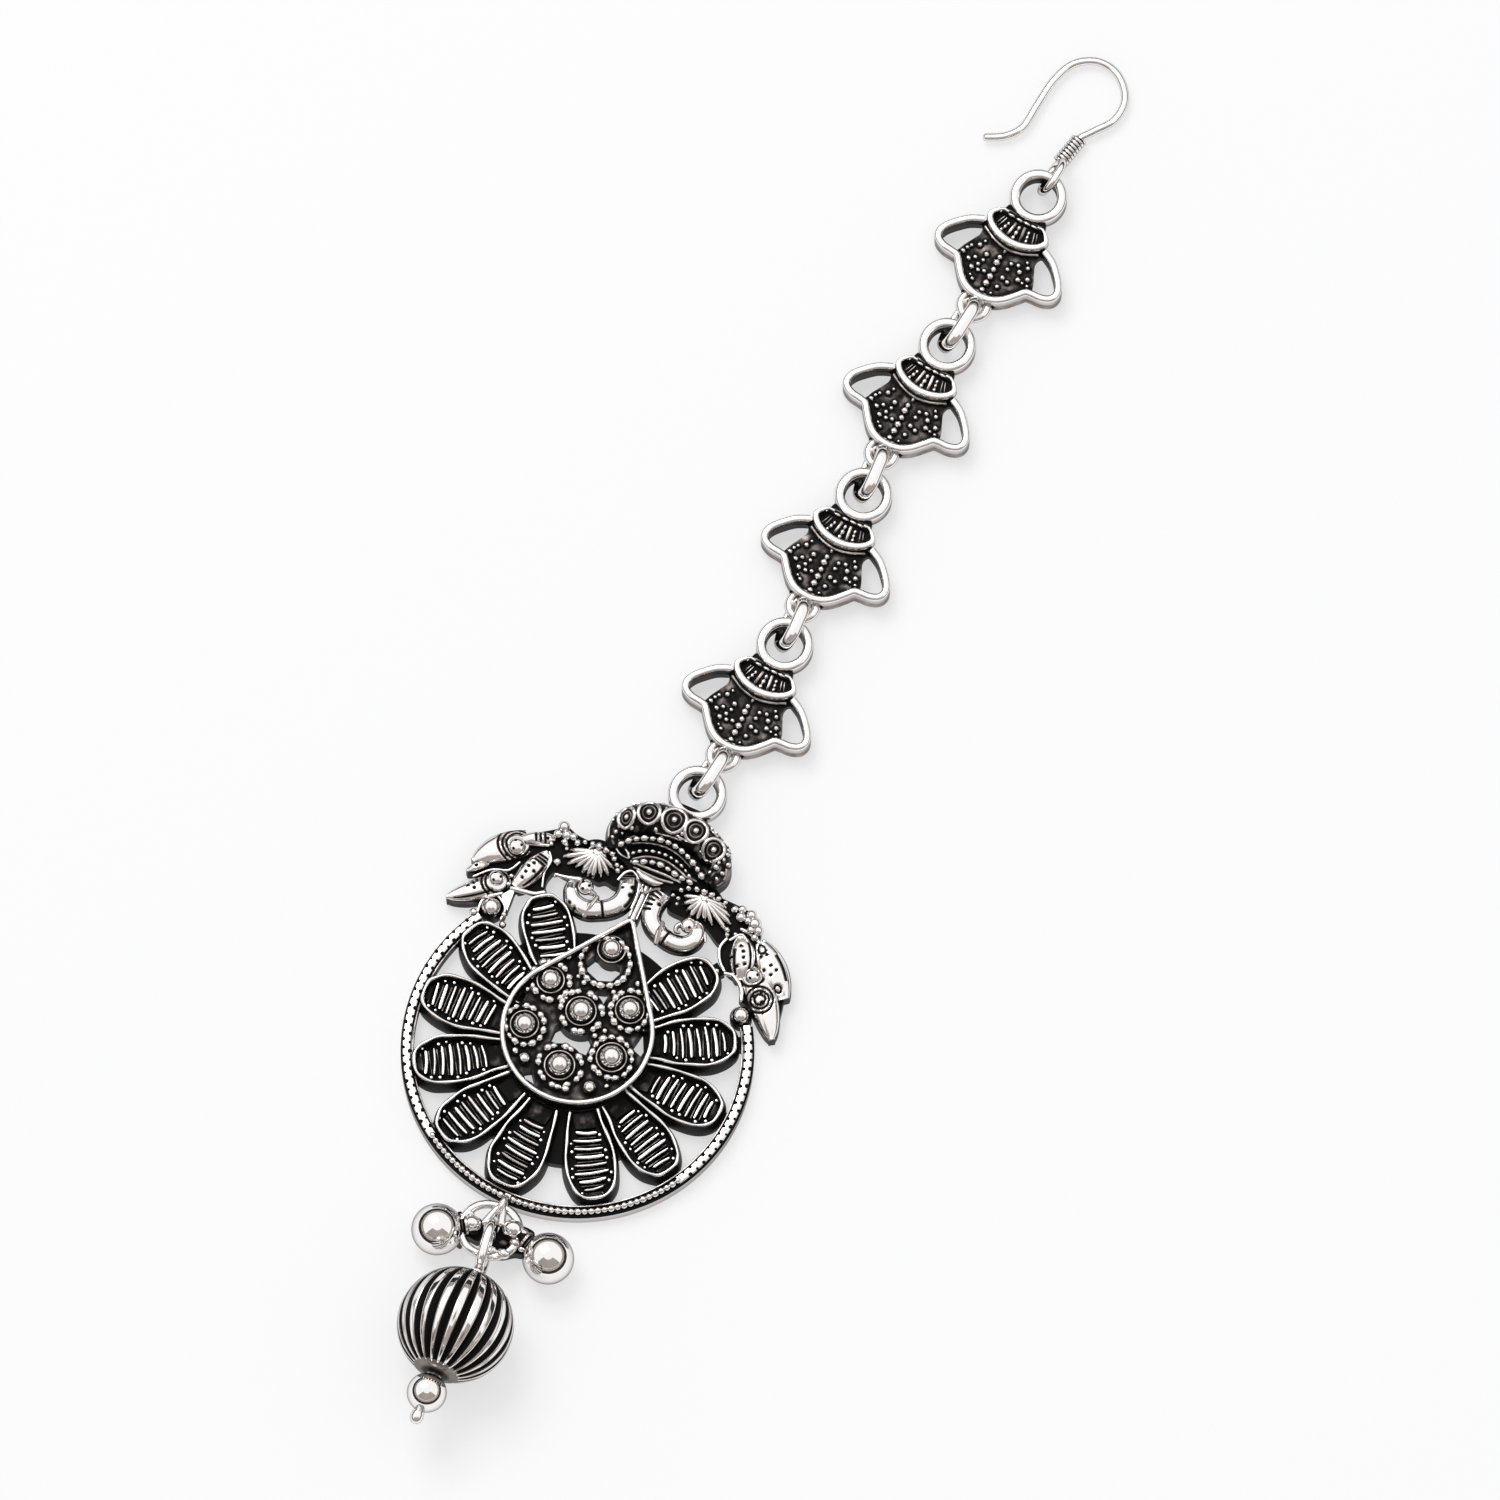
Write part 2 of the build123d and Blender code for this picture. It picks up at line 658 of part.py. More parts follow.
def collar_face():
    """The pointed oval of a link's collar."""
    with BuildSketch() as face:
        with BuildLine():
            ThreePointArc((-COLLAR_HALF, COLLAR_MID_Y), (0, COLLAR_TOP_Y), (COLLAR_HALF, COLLAR_MID_Y))
            ThreePointArc((COLLAR_HALF, COLLAR_MID_Y), (0, COLLAR_LOW_Y), (-COLLAR_HALF, COLLAR_MID_Y))
        make_face()
    return face.sketch


def link_wall():
    """The raised edges of a link's body: its outer wall and the walls of its openings."""
    with BuildSketch() as face:
        add(outline_face())
        offset(amount=-LINK_WALL, mode=Mode.SUBTRACT)
        for side in (1, -1):
            add(offset(opening_face(side), amount=OPENING_WALL, mode=Mode.PRIVATE))
            add(opening_face(side), mode=Mode.SUBTRACT)
        add(outline_face(), mode=Mode.INTERSECT)
    return face.sketch


def make_link(place):
    """One cast link: ring, neck, collar, leaf-shaped body with side loops, and eyelet."""
    base = place.offset(LINK_Z)
    with BuildPart() as link:
        with BuildSketch(base):
            add(outline_face())
            for side in (1, -1):
                add(opening_face(side), mode=Mode.SUBTRACT)
            add(collar_face())
        extrude(amount=LINK_FLOOR)
        with BuildSketch(base):
            add(link_wall())
        extrude(amount=LINK_WALL_H)
        with BuildSketch(base):
            add(collar_face())
            offset(amount=-COLLAR_WALL, mode=Mode.SUBTRACT)
            for rib in range(COLLAR_RIBS):
                spread = rib - (COLLAR_RIBS - 1) / 2
                with Locations((spread * COLLAR_RIB_PITCH, COLLAR_RIB_Y + abs(spread) * COLLAR_RIB_RISE)):
                    Rectangle(*COLLAR_RIB_SIZE, rotation=spread * COLLAR_RIB_SPLAY)
        extrude(amount=COLLAR_WALL_H)
        with BuildSketch(base):
            Circle(LINK_RING_R)
            with Locations((0, -LINK_RING_R)):
                Rectangle(*LINK_NECK)
            Circle(RING_INNER_R, mode=Mode.SUBTRACT)
        extrude(amount=RING_H)
        with BuildSketch(base):
            with Locations((0, EYELET_Y)):
                Circle(EYELET_OUTER_R)
                Circle(EYELET_INNER_R, mode=Mode.SUBTRACT)
        extrude(amount=LINK_FLOOR)
        for bead in range(LINK_BEADS):
            spot = (0, LINK_BEAD_FIRST_Y - bead * LINK_BEAD_PITCH, LINK_Z + LINK_FLOOR + LINK_BEAD_R / 3)
            with Locations(Location(place.from_local_coords(spot))):
                Sphere(LINK_BEAD_R)
    return link.part


def link_plane(x, y, lean):
    """The plane of a link on the surface, its origin at the middle of its ring."""
    return Plane(origin=(x, y, 0), x_dir=(cos(radians(lean)), -sin(radians(lean)), 0), z_dir=(0, 0, 1))


os.makedirs("parts", exist_ok=True)
ring_middles = [Vector(x, y, 0) for x, y, lean in LINKS[1:]] + [Vector(*TOP_RING_CENTRE, 0)]
jump_middle_z = JUMP_WIRE_R + JUMP_BEND_R * cos(radians(JUMP_TILT)) + JUMP_LIFT
for number, (x, y, lean) in enumerate(LINKS, start=1):
    place = link_plane(x, y, lean)
    link_part = make_link(place)
    link_part.label = f"link_{number}"
    export_step(link_part, f"parts/link_{number}.step")
    eyelet = place.from_local_coords((0, EYELET_Y, 0))
    below = ring_middles[number - 1]
    run = eyelet - below
    middle = (eyelet + below) * 0.5
    heading = -run.get_signed_angle(Vector(0, 1, 0), Vector(0, 0, 1))
    jump_plane = upright((middle.X + JUMP_SIDE, middle.Y, jump_middle_z), heading, JUMP_TILT)
    jump_part = oval_wire(jump_plane, JUMP_BEND_R, run.length - JUMP_SLACK, JUMP_WIRE_R)
    jump_part.label = f"jump_ring_{number}"
    export_step(jump_part, f"parts/jump_ring_{number}.step")

# ---------------------------------------------------------------- hook
coil_foot = Vector(*HOOK_CORNERS[-1], HOOK_Z)
coil_run = (Vector(*HOOK_CORNERS[-2], HOOK_Z) - coil_foot).normalized()
eye_plane = upright(EYE_CENTRE, EYE_HEADING * -1, EYE_TILT)
with BuildPart() as hook:
    add(level_wire(HOOK_CORNERS, HOOK_RADII, HOOK_WIRE_R, HOOK_Z))
    with BuildSketch(Plane(origin=coil_foot, x_dir=coil_run, z_dir=(0, 0, 1))):
        with BuildLine():
            for turn in range(COIL_TURNS):
                low = turn * COIL_PITCH
                high = low + COIL_PITCH
                ThreePointArc((low, COIL_CORE_R), (low + COIL_PITCH / 2, COIL_R), (high, COIL_CORE_R))
            Polyline((high, COIL_CORE_R), (high, 0), (0, 0), (0, COIL_CORE_R))
        make_face()
    revolve(axis=Axis(coil_foot, coil_run))
    add(oval_wire(eye_plane, EYE_BEND_R, EYE_STRAIGHT, HOOK_WIRE_R))
    eye_joint = eye_plane.from_local_coords((EYE_STRAIGHT / 2, -EYE_BEND_R, 0))
    add(rod(coil_foot, eye_joint, HOOK_WIRE_R))
hook.part.label = "hook"

# ---------------------------------------------------------------- files
for piece in (medallion, ball_ring, drop_pin, melon_bead, drop_ball, hook):
    export_step(piece.part, f"parts/{piece.part.label}.step")
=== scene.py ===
"""Maang tikka in oxidised silver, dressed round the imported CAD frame.

The medallion lies face up at the origin, +Y runs up the chain to the hook and +Z is up. Sizes in
the classes are millimetres, and meshes are handed to Blender in metres.
"""

import logging
import math
from dataclasses import dataclass, field, replace
from enum import Enum
from typing import Callable, Optional, Sequence, Union

import bmesh
import bpy
import numpy as np
from mathutils import Matrix, Vector
from mathutils.geometry import tessellate_polygon


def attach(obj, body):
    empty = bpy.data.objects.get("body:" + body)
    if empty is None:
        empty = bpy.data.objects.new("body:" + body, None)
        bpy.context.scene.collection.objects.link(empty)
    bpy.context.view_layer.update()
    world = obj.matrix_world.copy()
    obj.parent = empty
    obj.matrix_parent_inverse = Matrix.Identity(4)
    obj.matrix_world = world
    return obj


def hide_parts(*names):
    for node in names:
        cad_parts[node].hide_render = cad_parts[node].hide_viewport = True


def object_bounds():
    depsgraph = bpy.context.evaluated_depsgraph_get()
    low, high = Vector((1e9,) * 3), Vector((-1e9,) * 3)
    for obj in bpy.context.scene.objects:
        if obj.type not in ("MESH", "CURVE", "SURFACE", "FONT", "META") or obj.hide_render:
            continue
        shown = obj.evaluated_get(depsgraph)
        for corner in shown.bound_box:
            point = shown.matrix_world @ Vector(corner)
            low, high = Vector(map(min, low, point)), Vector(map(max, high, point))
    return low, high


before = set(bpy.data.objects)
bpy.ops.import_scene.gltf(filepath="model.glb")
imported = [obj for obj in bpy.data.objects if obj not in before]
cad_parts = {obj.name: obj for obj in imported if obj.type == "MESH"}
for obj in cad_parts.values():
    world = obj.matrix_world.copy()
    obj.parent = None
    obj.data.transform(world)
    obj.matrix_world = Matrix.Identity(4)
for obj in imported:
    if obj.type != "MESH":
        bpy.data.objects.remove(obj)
frame_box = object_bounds()

LOG = logging.getLogger("maang_tikka")
MM = 0.001
Shares = Union[float, Sequence[float], np.ndarray]
Point = tuple[float, float]
Triple = tuple[float, float, float]
Socket = bpy.types.NodeSocket


class Slot(Enum):
    """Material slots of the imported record."""

    MEDALLION = "medallion_metal"
    LINK = "link_metal"
    DROP = "drop_metal"
    WIRE = "wire_metal"


# ---- drawing tools
def curved(spots: Sequence[Sequence[float]], closed: bool = False, pieces: int = 8) -> np.ndarray:
    """Draws a smooth curve through every spot.

    Args:
        spots: Places in two or three dimensions.
        closed: Whether the curve comes back to its first spot.
        pieces: How many short pieces there are between two spots.

    Returns:
        The points of the curve, one row each.
    """
    knots = np.array(spots, float)
    count = len(knots)
    spans = count if closed else count - 1
    line = []
    for i in range(spans):
        if closed:
            a, b, c, d = (knots[(i + k) % count] for k in (-1, 0, 1, 2))
        else:
            a, b, c, d = (knots[min(max(i + k, 0), count - 1)] for k in (-1, 0, 1, 2))
        for n in range(pieces):
            t = n / pieces
            line.append(0.5 * (2 * b + (c - a) * t + (2 * a - 5 * b + 4 * c - d) * t**2
                               + (3 * b - a - 3 * c + d) * t**3))
    if not closed:
        line.append(knots[-1])
    return np.array(line)


def whole_turn(count: int) -> np.ndarray:
    """Even angles once round, in radians."""
    return np.linspace(0, 2 * math.pi, count, endpoint=False)


def ring_line(x: float, y: float, radius: float, count: int = 48, flat: float = 1.0) -> np.ndarray:
    """Points round a circle, or round an upright oval when flat isn't 1."""
    angles = whole_turn(count)
    return np.column_stack([x + radius * flat * np.cos(angles), y + radius * np.sin(angles)])


def spaced(line: np.ndarray, pitch: float, closed: bool = False) -> np.ndarray:
    """Places at an even pitch along a line.

    Args:
        line: Points in two or three dimensions.
        pitch: The wanted distance between places, eased so that they fill the line.
        closed: Whether the line comes back to its start.

    Returns:
        The places, one row each.
    """
    whole = np.vstack([line, line[:1]]) if closed else line
    runs = np.concatenate([[0], np.cumsum(np.linalg.norm(np.diff(whole, axis=0), axis=1))])
    count = max(2, round(runs[-1] / pitch))
    marks = np.linspace(0, runs[-1], count + (not closed), endpoint=not closed)
    return np.column_stack([np.interp(marks, runs, whole[:, k]) for k in range(whole.shape[1])])


def at_height(line: np.ndarray, height: Shares) -> np.ndarray:
    """Lifts a flat line to a height, or to one height for each of its points."""
    return np.column_stack([line[:, :2], np.broadcast_to(np.asarray(height, float), (len(line),))])


def mirrored(spots: Sequence[Point]) -> list[Point]:
    """The same spots on the other side of the y axis, in reverse order."""
    return [(-x, y) for x, y in reversed(spots)]


def bar(width: float, low: float, high: float, corner: float, lip: Optional[float] = None) -> np.ndarray:
    """The section of a bar with rounded top corners, as sideways and upward distances.

    Args:
        width: Its width.
        low: The height of its foot.
        high: The height of its top.
        corner: The radius of its top corners.
        lip: How far down its sides a line of points runs, so that the sides can change tone there.

    Returns:
        The section's points, from the foot on the left over the top to the foot on the right.
    """
    turn = np.linspace(0, math.pi / 2, 5)
    left = [(-width / 2 + corner * (1 - math.cos(a)), high - corner * (1 - math.sin(a))) for a in turn]
    if lip is not None:
        left = [(-width / 2, high - corner - lip - 0.06), (-width / 2, high - corner - lip), *left]
    return np.array([(-width / 2, low), *left, *[(-x, z) for x, z in reversed(left)], (width / 2, low)])


def round_section(radius: float, sides: int = 14) -> np.ndarray:
    """The section of a round wire."""
    angles = whole_turn(sides)
    return np.column_stack([radius * np.cos(angles), radius * np.sin(angles)])


def new_object(name: str, data: bpy.types.ID) -> bpy.types.Object:
    """Makes an object and puts it in the scene.

    Args:
        name: Its name.
        data: Its mesh, lamp or camera.

    Returns:
        The object.
    """
    made = bpy.data.objects.new(name, data)
    bpy.context.scene.collection.objects.link(made)
    return made


class Draft:
    """A mesh being drawn in millimetres, each point with its share of black oxide."""

    def __init__(self) -> None:
        """Starts with nothing drawn."""
        self.points: list[np.ndarray] = []
        self.shares: list[np.ndarray] = []
        self.faces: list[Sequence[int]] = []
        self.count = 0

    def add(self, points: np.ndarray, faces: Sequence[Sequence[int]], oxide: Shares = 0.0) -> None:
        """Adds points and the faces between them, whose numbers count from the first new point.

        Args:
            points: The new points.
            faces: Their faces, counted from the first new point.
            oxide: One share of oxide, or one for each point.
        """
        spots = np.asarray(points, float).reshape(-1, 3)
        share = np.asarray(oxide, float).reshape(-1)
        self.points.append(spots)
        self.shares.append(np.full(len(spots), share[0]) if share.size == 1 else share)
        self.faces.extend((np.asarray(faces) + self.count).tolist() if isinstance(faces, np.ndarray)
                          else [[k + self.count for k in face] for face in faces])
        self.count += len(spots)

    @staticmethod
    def quads(table: np.ndarray) -> np.ndarray:
        """The four-sided faces between the rows and columns of a table of point numbers."""
        return np.stack([table[:-1, :-1], table[1:, :-1], table[1:, 1:], table[:-1, 1:]], -1).reshape(-1, 4)

    def skin(self, points: np.ndarray, oxide: Shares = 0.0, along: bool = False) -> None:
        """Skins a table of points, whose last column joins the first.

        Args:
            points: Rows of points, as an array of rows, columns and three numbers.
            oxide: One share, one for each column, or one for each point.
            along: Whether the last row joins the first too. Otherwise the skin gets ends.
        """
        rows, columns = points.shape[:2]
        number = np.arange(rows * columns).reshape(rows, columns)
        table = np.vstack([number, number[:1]]) if along else number
        quads = self.quads(np.hstack([table, table[:, :1]]))
        share = np.broadcast_to(np.asarray(oxide, float), (rows, columns)).reshape(-1)
        start = self.count
        self.add(points, quads, share)
        if not along:
            self.faces.append((number[0][::-1] + start).tolist())
            self.faces.append((number[-1] + start).tolist())

    def sweep(self, line: np.ndarray, section: np.ndarray, closed: bool = False, level: bool = True,
              oxide: Shares = 0.0, scale: Shares = 1.0) -> None:
        """Carries a section along a line.

        Args:
            line: The line in three dimensions.
            section: The section's points, sideways and upward.
            closed: Whether the line comes back to its start.
            level: Whether the section stays upright. Otherwise it turns with the line.
            oxide: One share, one for each point of the section, or a row for each point of the line.
            scale: One scale of the section, or one for each point of the line.
        """
        before = np.roll(line, 1, 0) if closed else np.vstack([line[:1], line[:-1]])
        after = np.roll(line, -1, 0) if closed else np.vstack([line[1:], line[-1:]])
        heading = after - before
        heading /= np.linalg.norm(heading, axis=1)[:, None] + 1e-12
        if level:
            side = np.column_stack([heading[:, 1], -heading[:, 0], np.zeros(len(line))])
            side /= np.linalg.norm(side, axis=1)[:, None] + 1e-12
            up = np.tile([0.0, 0.0, 1.0], (len(line), 1))
        else:
            side, up = self.turning_frame(heading, closed)
        size = np.broadcast_to(np.asarray(scale, float), (len(line),))[:, None, None]
        across = section[None, :, 0, None] * size
        upward = section[None, :, 1, None] * size
        points = line[:, None, :] + side[:, None, :] * across + up[:, None, :] * upward
        self.skin(points, oxide, closed)

    def rail(self, line: np.ndarray, width: float, low: float, high: float, closed: bool = False,
             left: float = 0.0, right: float = 0.0, top: float = 0.0, corner: Optional[float] = None,
             lip: Optional[float] = None, foot: tuple[float, float] = (0.0, 0.0)) -> None:
        """Draws an upright bar along a flat line.

        Args:
            line: The bar's middle line.
            width: Its width.
            low: The height of its foot.
            high: The height of its top.
            closed: Whether the line comes back to its start.
            left: The share of oxide on the side to the left of the line's run.
            right: The share on the other side.
            top: The share on its top.
            corner: The radius of its top corners, nearly half its width if left out.
            lip: How far down the sides these shares reach, all the way if left out.
            foot: The shares of the left and right sides below the lip.
        """
        corner = width * 0.45 if corner is None else corner
        section = bar(width, low, high, corner, lip)
        on_right = section[:, 0] > 0
        share = np.where(section[:, 1] < high - corner * 0.7, np.where(on_right, right, left), top)
        if lip is not None:
            below = section[:, 1] < high - corner - lip - 0.03
            share = np.where(below, np.where(on_right, foot[1], foot[0]), share)
        self.sweep(at_height(line, 0), section, closed, True, share)

    @staticmethod
    def turning_frame(heading: np.ndarray, closed: bool) -> tuple[np.ndarray, np.ndarray]:
        """Side and up directions that turn as little as they can along a line's headings.

        Args:
            heading: The line's headings, each of length one.
            closed: Whether the line comes back to its start.

        Returns:
            The side and the up directions, one row for each heading.
        """
        guide = np.array([0.0, 0.0, 1.0]) if abs(heading[0][2]) < 0.9 else np.array([1.0, 0.0, 0.0])
        side = np.zeros_like(heading)
        side[0] = np.cross(heading[0], guide)
        side[0] /= np.linalg.norm(side[0])
        for i in range(1, len(heading)):
            carried = side[i - 1] - heading[i] * (side[i - 1] @ heading[i])
            side[i] = carried / (np.linalg.norm(carried) + 1e-12)
        up = np.cross(side, heading)
        if closed:
            last = side[-1] - heading[0] * (side[-1] @ heading[0])
            twist = math.atan2(last @ up[0], last @ side[0])
            turns = -twist * np.arange(len(heading)) / len(heading)
            side, up = (side * np.cos(turns)[:, None] + up * np.sin(turns)[:, None],
                        up * np.cos(turns)[:, None] - side * np.sin(turns)[:, None])
        return side, up

    def wire(self, line: np.ndarray, radius: float, closed: bool = False, oxide: float = 0.0,
             scale: Shares = 1.0, sides: int = 14, round_ends: bool = False) -> None:
        """Draws a round wire along a line, with ball ends if asked.

        Args:
            line: The middle line in three dimensions.
            radius: The radius of the wire.
            closed: Whether the line comes back to its start.
            oxide: The share of oxide on it.
            scale: One scale of the radius, or one for each point of the line.
            sides: Sides round the wire.
            round_ends: Whether it ends in balls.
        """
        self.sweep(line, round_section(radius, sides), closed, False, oxide, scale)
        if round_ends:
            sizes = np.broadcast_to(np.asarray(scale, float), (len(line),))
            for k in (0, -1):
                self.ball(line[k], radius * sizes[k], oxide=oxide)

    def ball(self, centre: Sequence[float], radius: float, squash: Sequence[float] = (1, 1, 1),
             turn: float = 0.0, oxide: float = 0.0, sides: int = 10, skirt: float = 0.0) -> None:
        """Draws a ball or an oval bead.

        Args:
            centre: Its middle.
            radius: Its radius.
            squash: Scales along its own three axes.
            turn: Its turn about the upright, in radians.
            oxide: The share of oxide on it.
            sides: Sides round it; half as many rows from pole to pole.
            skirt: More oxide than that on its lower half.
        """
        rows = max(4, sides // 2)
        polar = np.linspace(0, math.pi, rows + 1)[1:-1]
        angles = whole_turn(sides)
        shape = np.array([(math.sin(p) * math.cos(a), math.sin(p) * math.sin(a), math.cos(p))
                          for p in polar for a in angles])
        shape = np.vstack([shape, (0, 0, 1), (0, 0, -1)])
        share = np.clip(oxide + skirt * np.clip(0.3 - shape[:, 2], 0, 1), 0, 1)
        shape = shape * np.array(squash)
        spin = np.array([[math.cos(turn), -math.sin(turn), 0],
                         [math.sin(turn), math.cos(turn), 0], [0, 0, 1]])
        number = np.arange((rows - 1) * sides).reshape(rows - 1, sides)
        wrap = np.hstack([number, number[:, :1]])
        faces = self.quads(wrap).tolist()
        top, bottom = (rows - 1) * sides, (rows - 1) * sides + 1
        faces += [[top, wrap[0, k], wrap[0, k + 1]] for k in range(sides)]
        faces += [[bottom, wrap[-1, k + 1], wrap[-1, k]] for k in range(sides)]
        self.add(shape @ spin.T * radius + np.asarray(centre, float), faces, share)

    def turned(self, profile: Sequence[Sequence[float]], centre: Sequence[float],
               axis: Optional[Vector] = None,
               sides: int = 40, oxide: Shares = 0.0) -> None:
        """Turns a profile of radius and height about an axis through a centre, upright unless given.

        Args:
            profile: The radius and the height of each row.
            centre: Where the height is nought.
            axis: The way that the height runs, upright if left out.
            sides: Sides round the form.
            oxide: One share of oxide, or one for each row.
        """
        outline = np.array(profile, float)
        angles = whole_turn(sides)
        table = np.stack([outline[:, None, 0] * np.cos(angles), outline[:, None, 0] * np.sin(angles),
                          np.repeat(outline[:, 1:2], sides, 1)], -1)
        if axis is not None:
            spin = np.array(Vector((0, 0, 1)).rotation_difference(axis).to_matrix())
            table = table @ spin.T
        share = np.asarray(oxide, float)
        share = share[:, None] if share.ndim else share
        self.skin(table + np.asarray(centre, float), share)

    def plate(self, outline: Sequence[Point], low: float, high: float, oxide: float = 0.0,
              wall_oxide: Optional[float] = None, holes: Sequence[Sequence[Point]] = ()) -> None:
        """Draws a flat plate with see-through holes between two heights.

        Args:
            outline: The outline on the flat.
            low: The height of its underside.
            high: The height of its top.
            oxide: The share of oxide on both faces.
            wall_oxide: The share on the walls, the same if left out.
            holes: The outlines of the holes.
        """
        loops = [np.array(loop, float) for loop in (outline, *holes)]
        flat = np.vstack(loops)
        triangles = tessellate_polygon([[Vector((x, y, 0)) for x, y in loop] for loop in loops])
        top = np.column_stack([flat, np.full(len(flat), high)])
        bottom = np.column_stack([flat, np.full(len(flat), low)])
        self.add(top, [list(t) for t in triangles], oxide)
        self.add(bottom, [list(t)[::-1] for t in triangles], oxide)
        for loop in loops:
            wall = np.stack([at_height(loop, high), at_height(loop, low)])
            count = len(loop)
            quads = [[k, count + k, count + (k + 1) % count, (k + 1) % count] for k in range(count)]
            self.add(wall.reshape(-1, 3), quads, oxide if wall_oxide is None else wall_oxide)

    def relief(self, line: np.ndarray, width: Callable[[float], float], crown: Callable[[float], float],
               base: float, low: float = 0.0, across: int = 15,
               detail: Optional[Callable[[float, float], tuple[float, float]]] = None,
               fullness: float = 2.4) -> np.ndarray:
        """Draws a plump raised form along a line, flat below.

        Args:
            line: Its middle line on the flat.
            width: Its full width at each share of its length.
            crown: How far its middle stands above the base at each share.
            base: The height at which its sides start to round in.
            low: The height of its flat underside.
            across: The number of points across its top.
            detail: Gives a lift and a share of oxide for a share along and a place across, from -1 to 1.
            fullness: How square its section is; 2 is an ellipse.

        Returns:
            The points of its top, one row each.
        """
        runs = np.concatenate([[0], np.cumsum(np.linalg.norm(np.diff(line, axis=0), axis=1))])
        heading = np.gradient(line, axis=0)
        heading /= np.linalg.norm(heading, axis=1)[:, None] + 1e-12
        side = np.column_stack([heading[:, 1], -heading[:, 0]])
        places = np.sin(np.linspace(-math.pi / 2, math.pi / 2, across))
        table = np.zeros((len(line), across + 2, 3))
        oxide = np.zeros((len(line), across + 2))
        for i, share in enumerate(runs / runs[-1]):
            half, rise = width(share) / 2, crown(share)
            for j, place in enumerate(places):
                lift, black = detail(share, place) if detail else (0.0, 0.0)
                round_in = (1 - abs(place) ** fullness) ** (1 / fullness) if abs(place) < 1 else 0.0
                spot = line[i] + side[i] * half * place
                table[i, j] = (*spot, base + rise * round_in + lift * min(1.0, round_in * 2))
                oxide[i, j] = black
            table[i, across] = (*(line[i] + side[i] * half), low)
            table[i, across + 1] = (*(line[i] - side[i] * half), low)
            oxide[i, [0, across - 1, across, across + 1]] = (0.5, 0.5, 0.8, 0.8)
        self.skin(table, oxide)
        return table[:, :across].reshape(-1, 3)

    def finish(self, name: str, material: bpy.types.Material, slot: Slot, node: str,
               place: Optional[Matrix] = None, crease_deg: float = 42.0) -> bpy.types.Object:
        """Makes the Blender object, dresses it, hangs it on the root body and hides its CAD node.

        Args:
            name: The piece's name.
            material: Its finish.
            slot: The record's slot that the finish belongs to; not used.
            node: The CAD node that the piece stands for.
            place: Where the drawing goes in the row frame, in millimetres. At the origin if left out.
            crease_deg: Edges sharper than this stay crisp.

        Returns:
            The finished object.
        """
        points = np.vstack(self.points)
        if place is not None:
            spin = np.array(place)
            points = points @ spin[:3, :3].T + spin[:3, 3]
        mesh = bpy.data.meshes.new(name)
        mesh.from_pydata((points * MM).tolist(), [], self.faces)
        mesh.validate()
        share = mesh.attributes.new("oxide", "FLOAT", "POINT")
        share.data.foreach_set("value", np.concatenate(self.shares).astype(np.float32))
        work = bmesh.new()
        work.from_mesh(mesh)
        bmesh.ops.recalc_face_normals(work, faces=work.faces)
        work.to_mesh(mesh)
        work.free()
        mesh.shade_smooth()
        mesh.set_sharp_from_angle(angle=math.radians(crease_deg))
        mesh.materials.append(material)
        piece = new_object(name, mesh)
        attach(piece, "root")
        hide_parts(node)
        triangles = sum(len(face.vertices) - 2 for face in mesh.polygons)
        LOG.info("%s: %d triangles, stands for %s", name, triangles, node)
        return piece


def dome_profile(radius: float, foot: float, rows: int = 10) -> list[Point]:
    """The profile of a half ball on a straight foot, from the foot up."""
    turn = np.linspace(0, math.pi / 2, rows)
    return [(radius, -foot), *[(max(radius * math.cos(a), 1e-3), radius * math.sin(a)) for a in turn]]


def placed(line: np.ndarray, x: float, y: float, turn: float) -> np.ndarray:
    """Turns a flat line about its zero by an angle in radians and moves it to a place."""
    spin = np.array([[math.cos(turn), -math.sin(turn)], [math.sin(turn), math.cos(turn)]])
    return line @ spin.T + (x, y)


def resting(ground: np.ndarray, spots: Sequence[Point], lift: float) -> np.ndarray:
    """Lays flat spots on the nearest points of a drawn form.

    Args:
        ground: Points of the form's top.
        spots: Places on the flat.
        lift: How far above the form they lie.

    Returns:
        The spots with their heights.
    """
    flat = np.array(spots, float)[:, :2]
    apart = np.linalg.norm(flat[:, None, :] - ground[None, :, :2], axis=2)
    nearest = np.argsort(apart, axis=1)[:, :4]
    pull = 1 / (np.take_along_axis(apart, nearest, 1) + 0.02)
    return at_height(flat, (ground[nearest, 2] * pull).sum(1) / pull.sum(1) + lift)


def turned_place(x: float, y: float, clockwise_deg: float) -> Matrix:
    """A place on the surface whose own +y leans clockwise from the row frame's +Y."""
    return Matrix.Translation((x, y, 0)) @ Matrix.Rotation(-math.radians(clockwise_deg), 4, "Z")


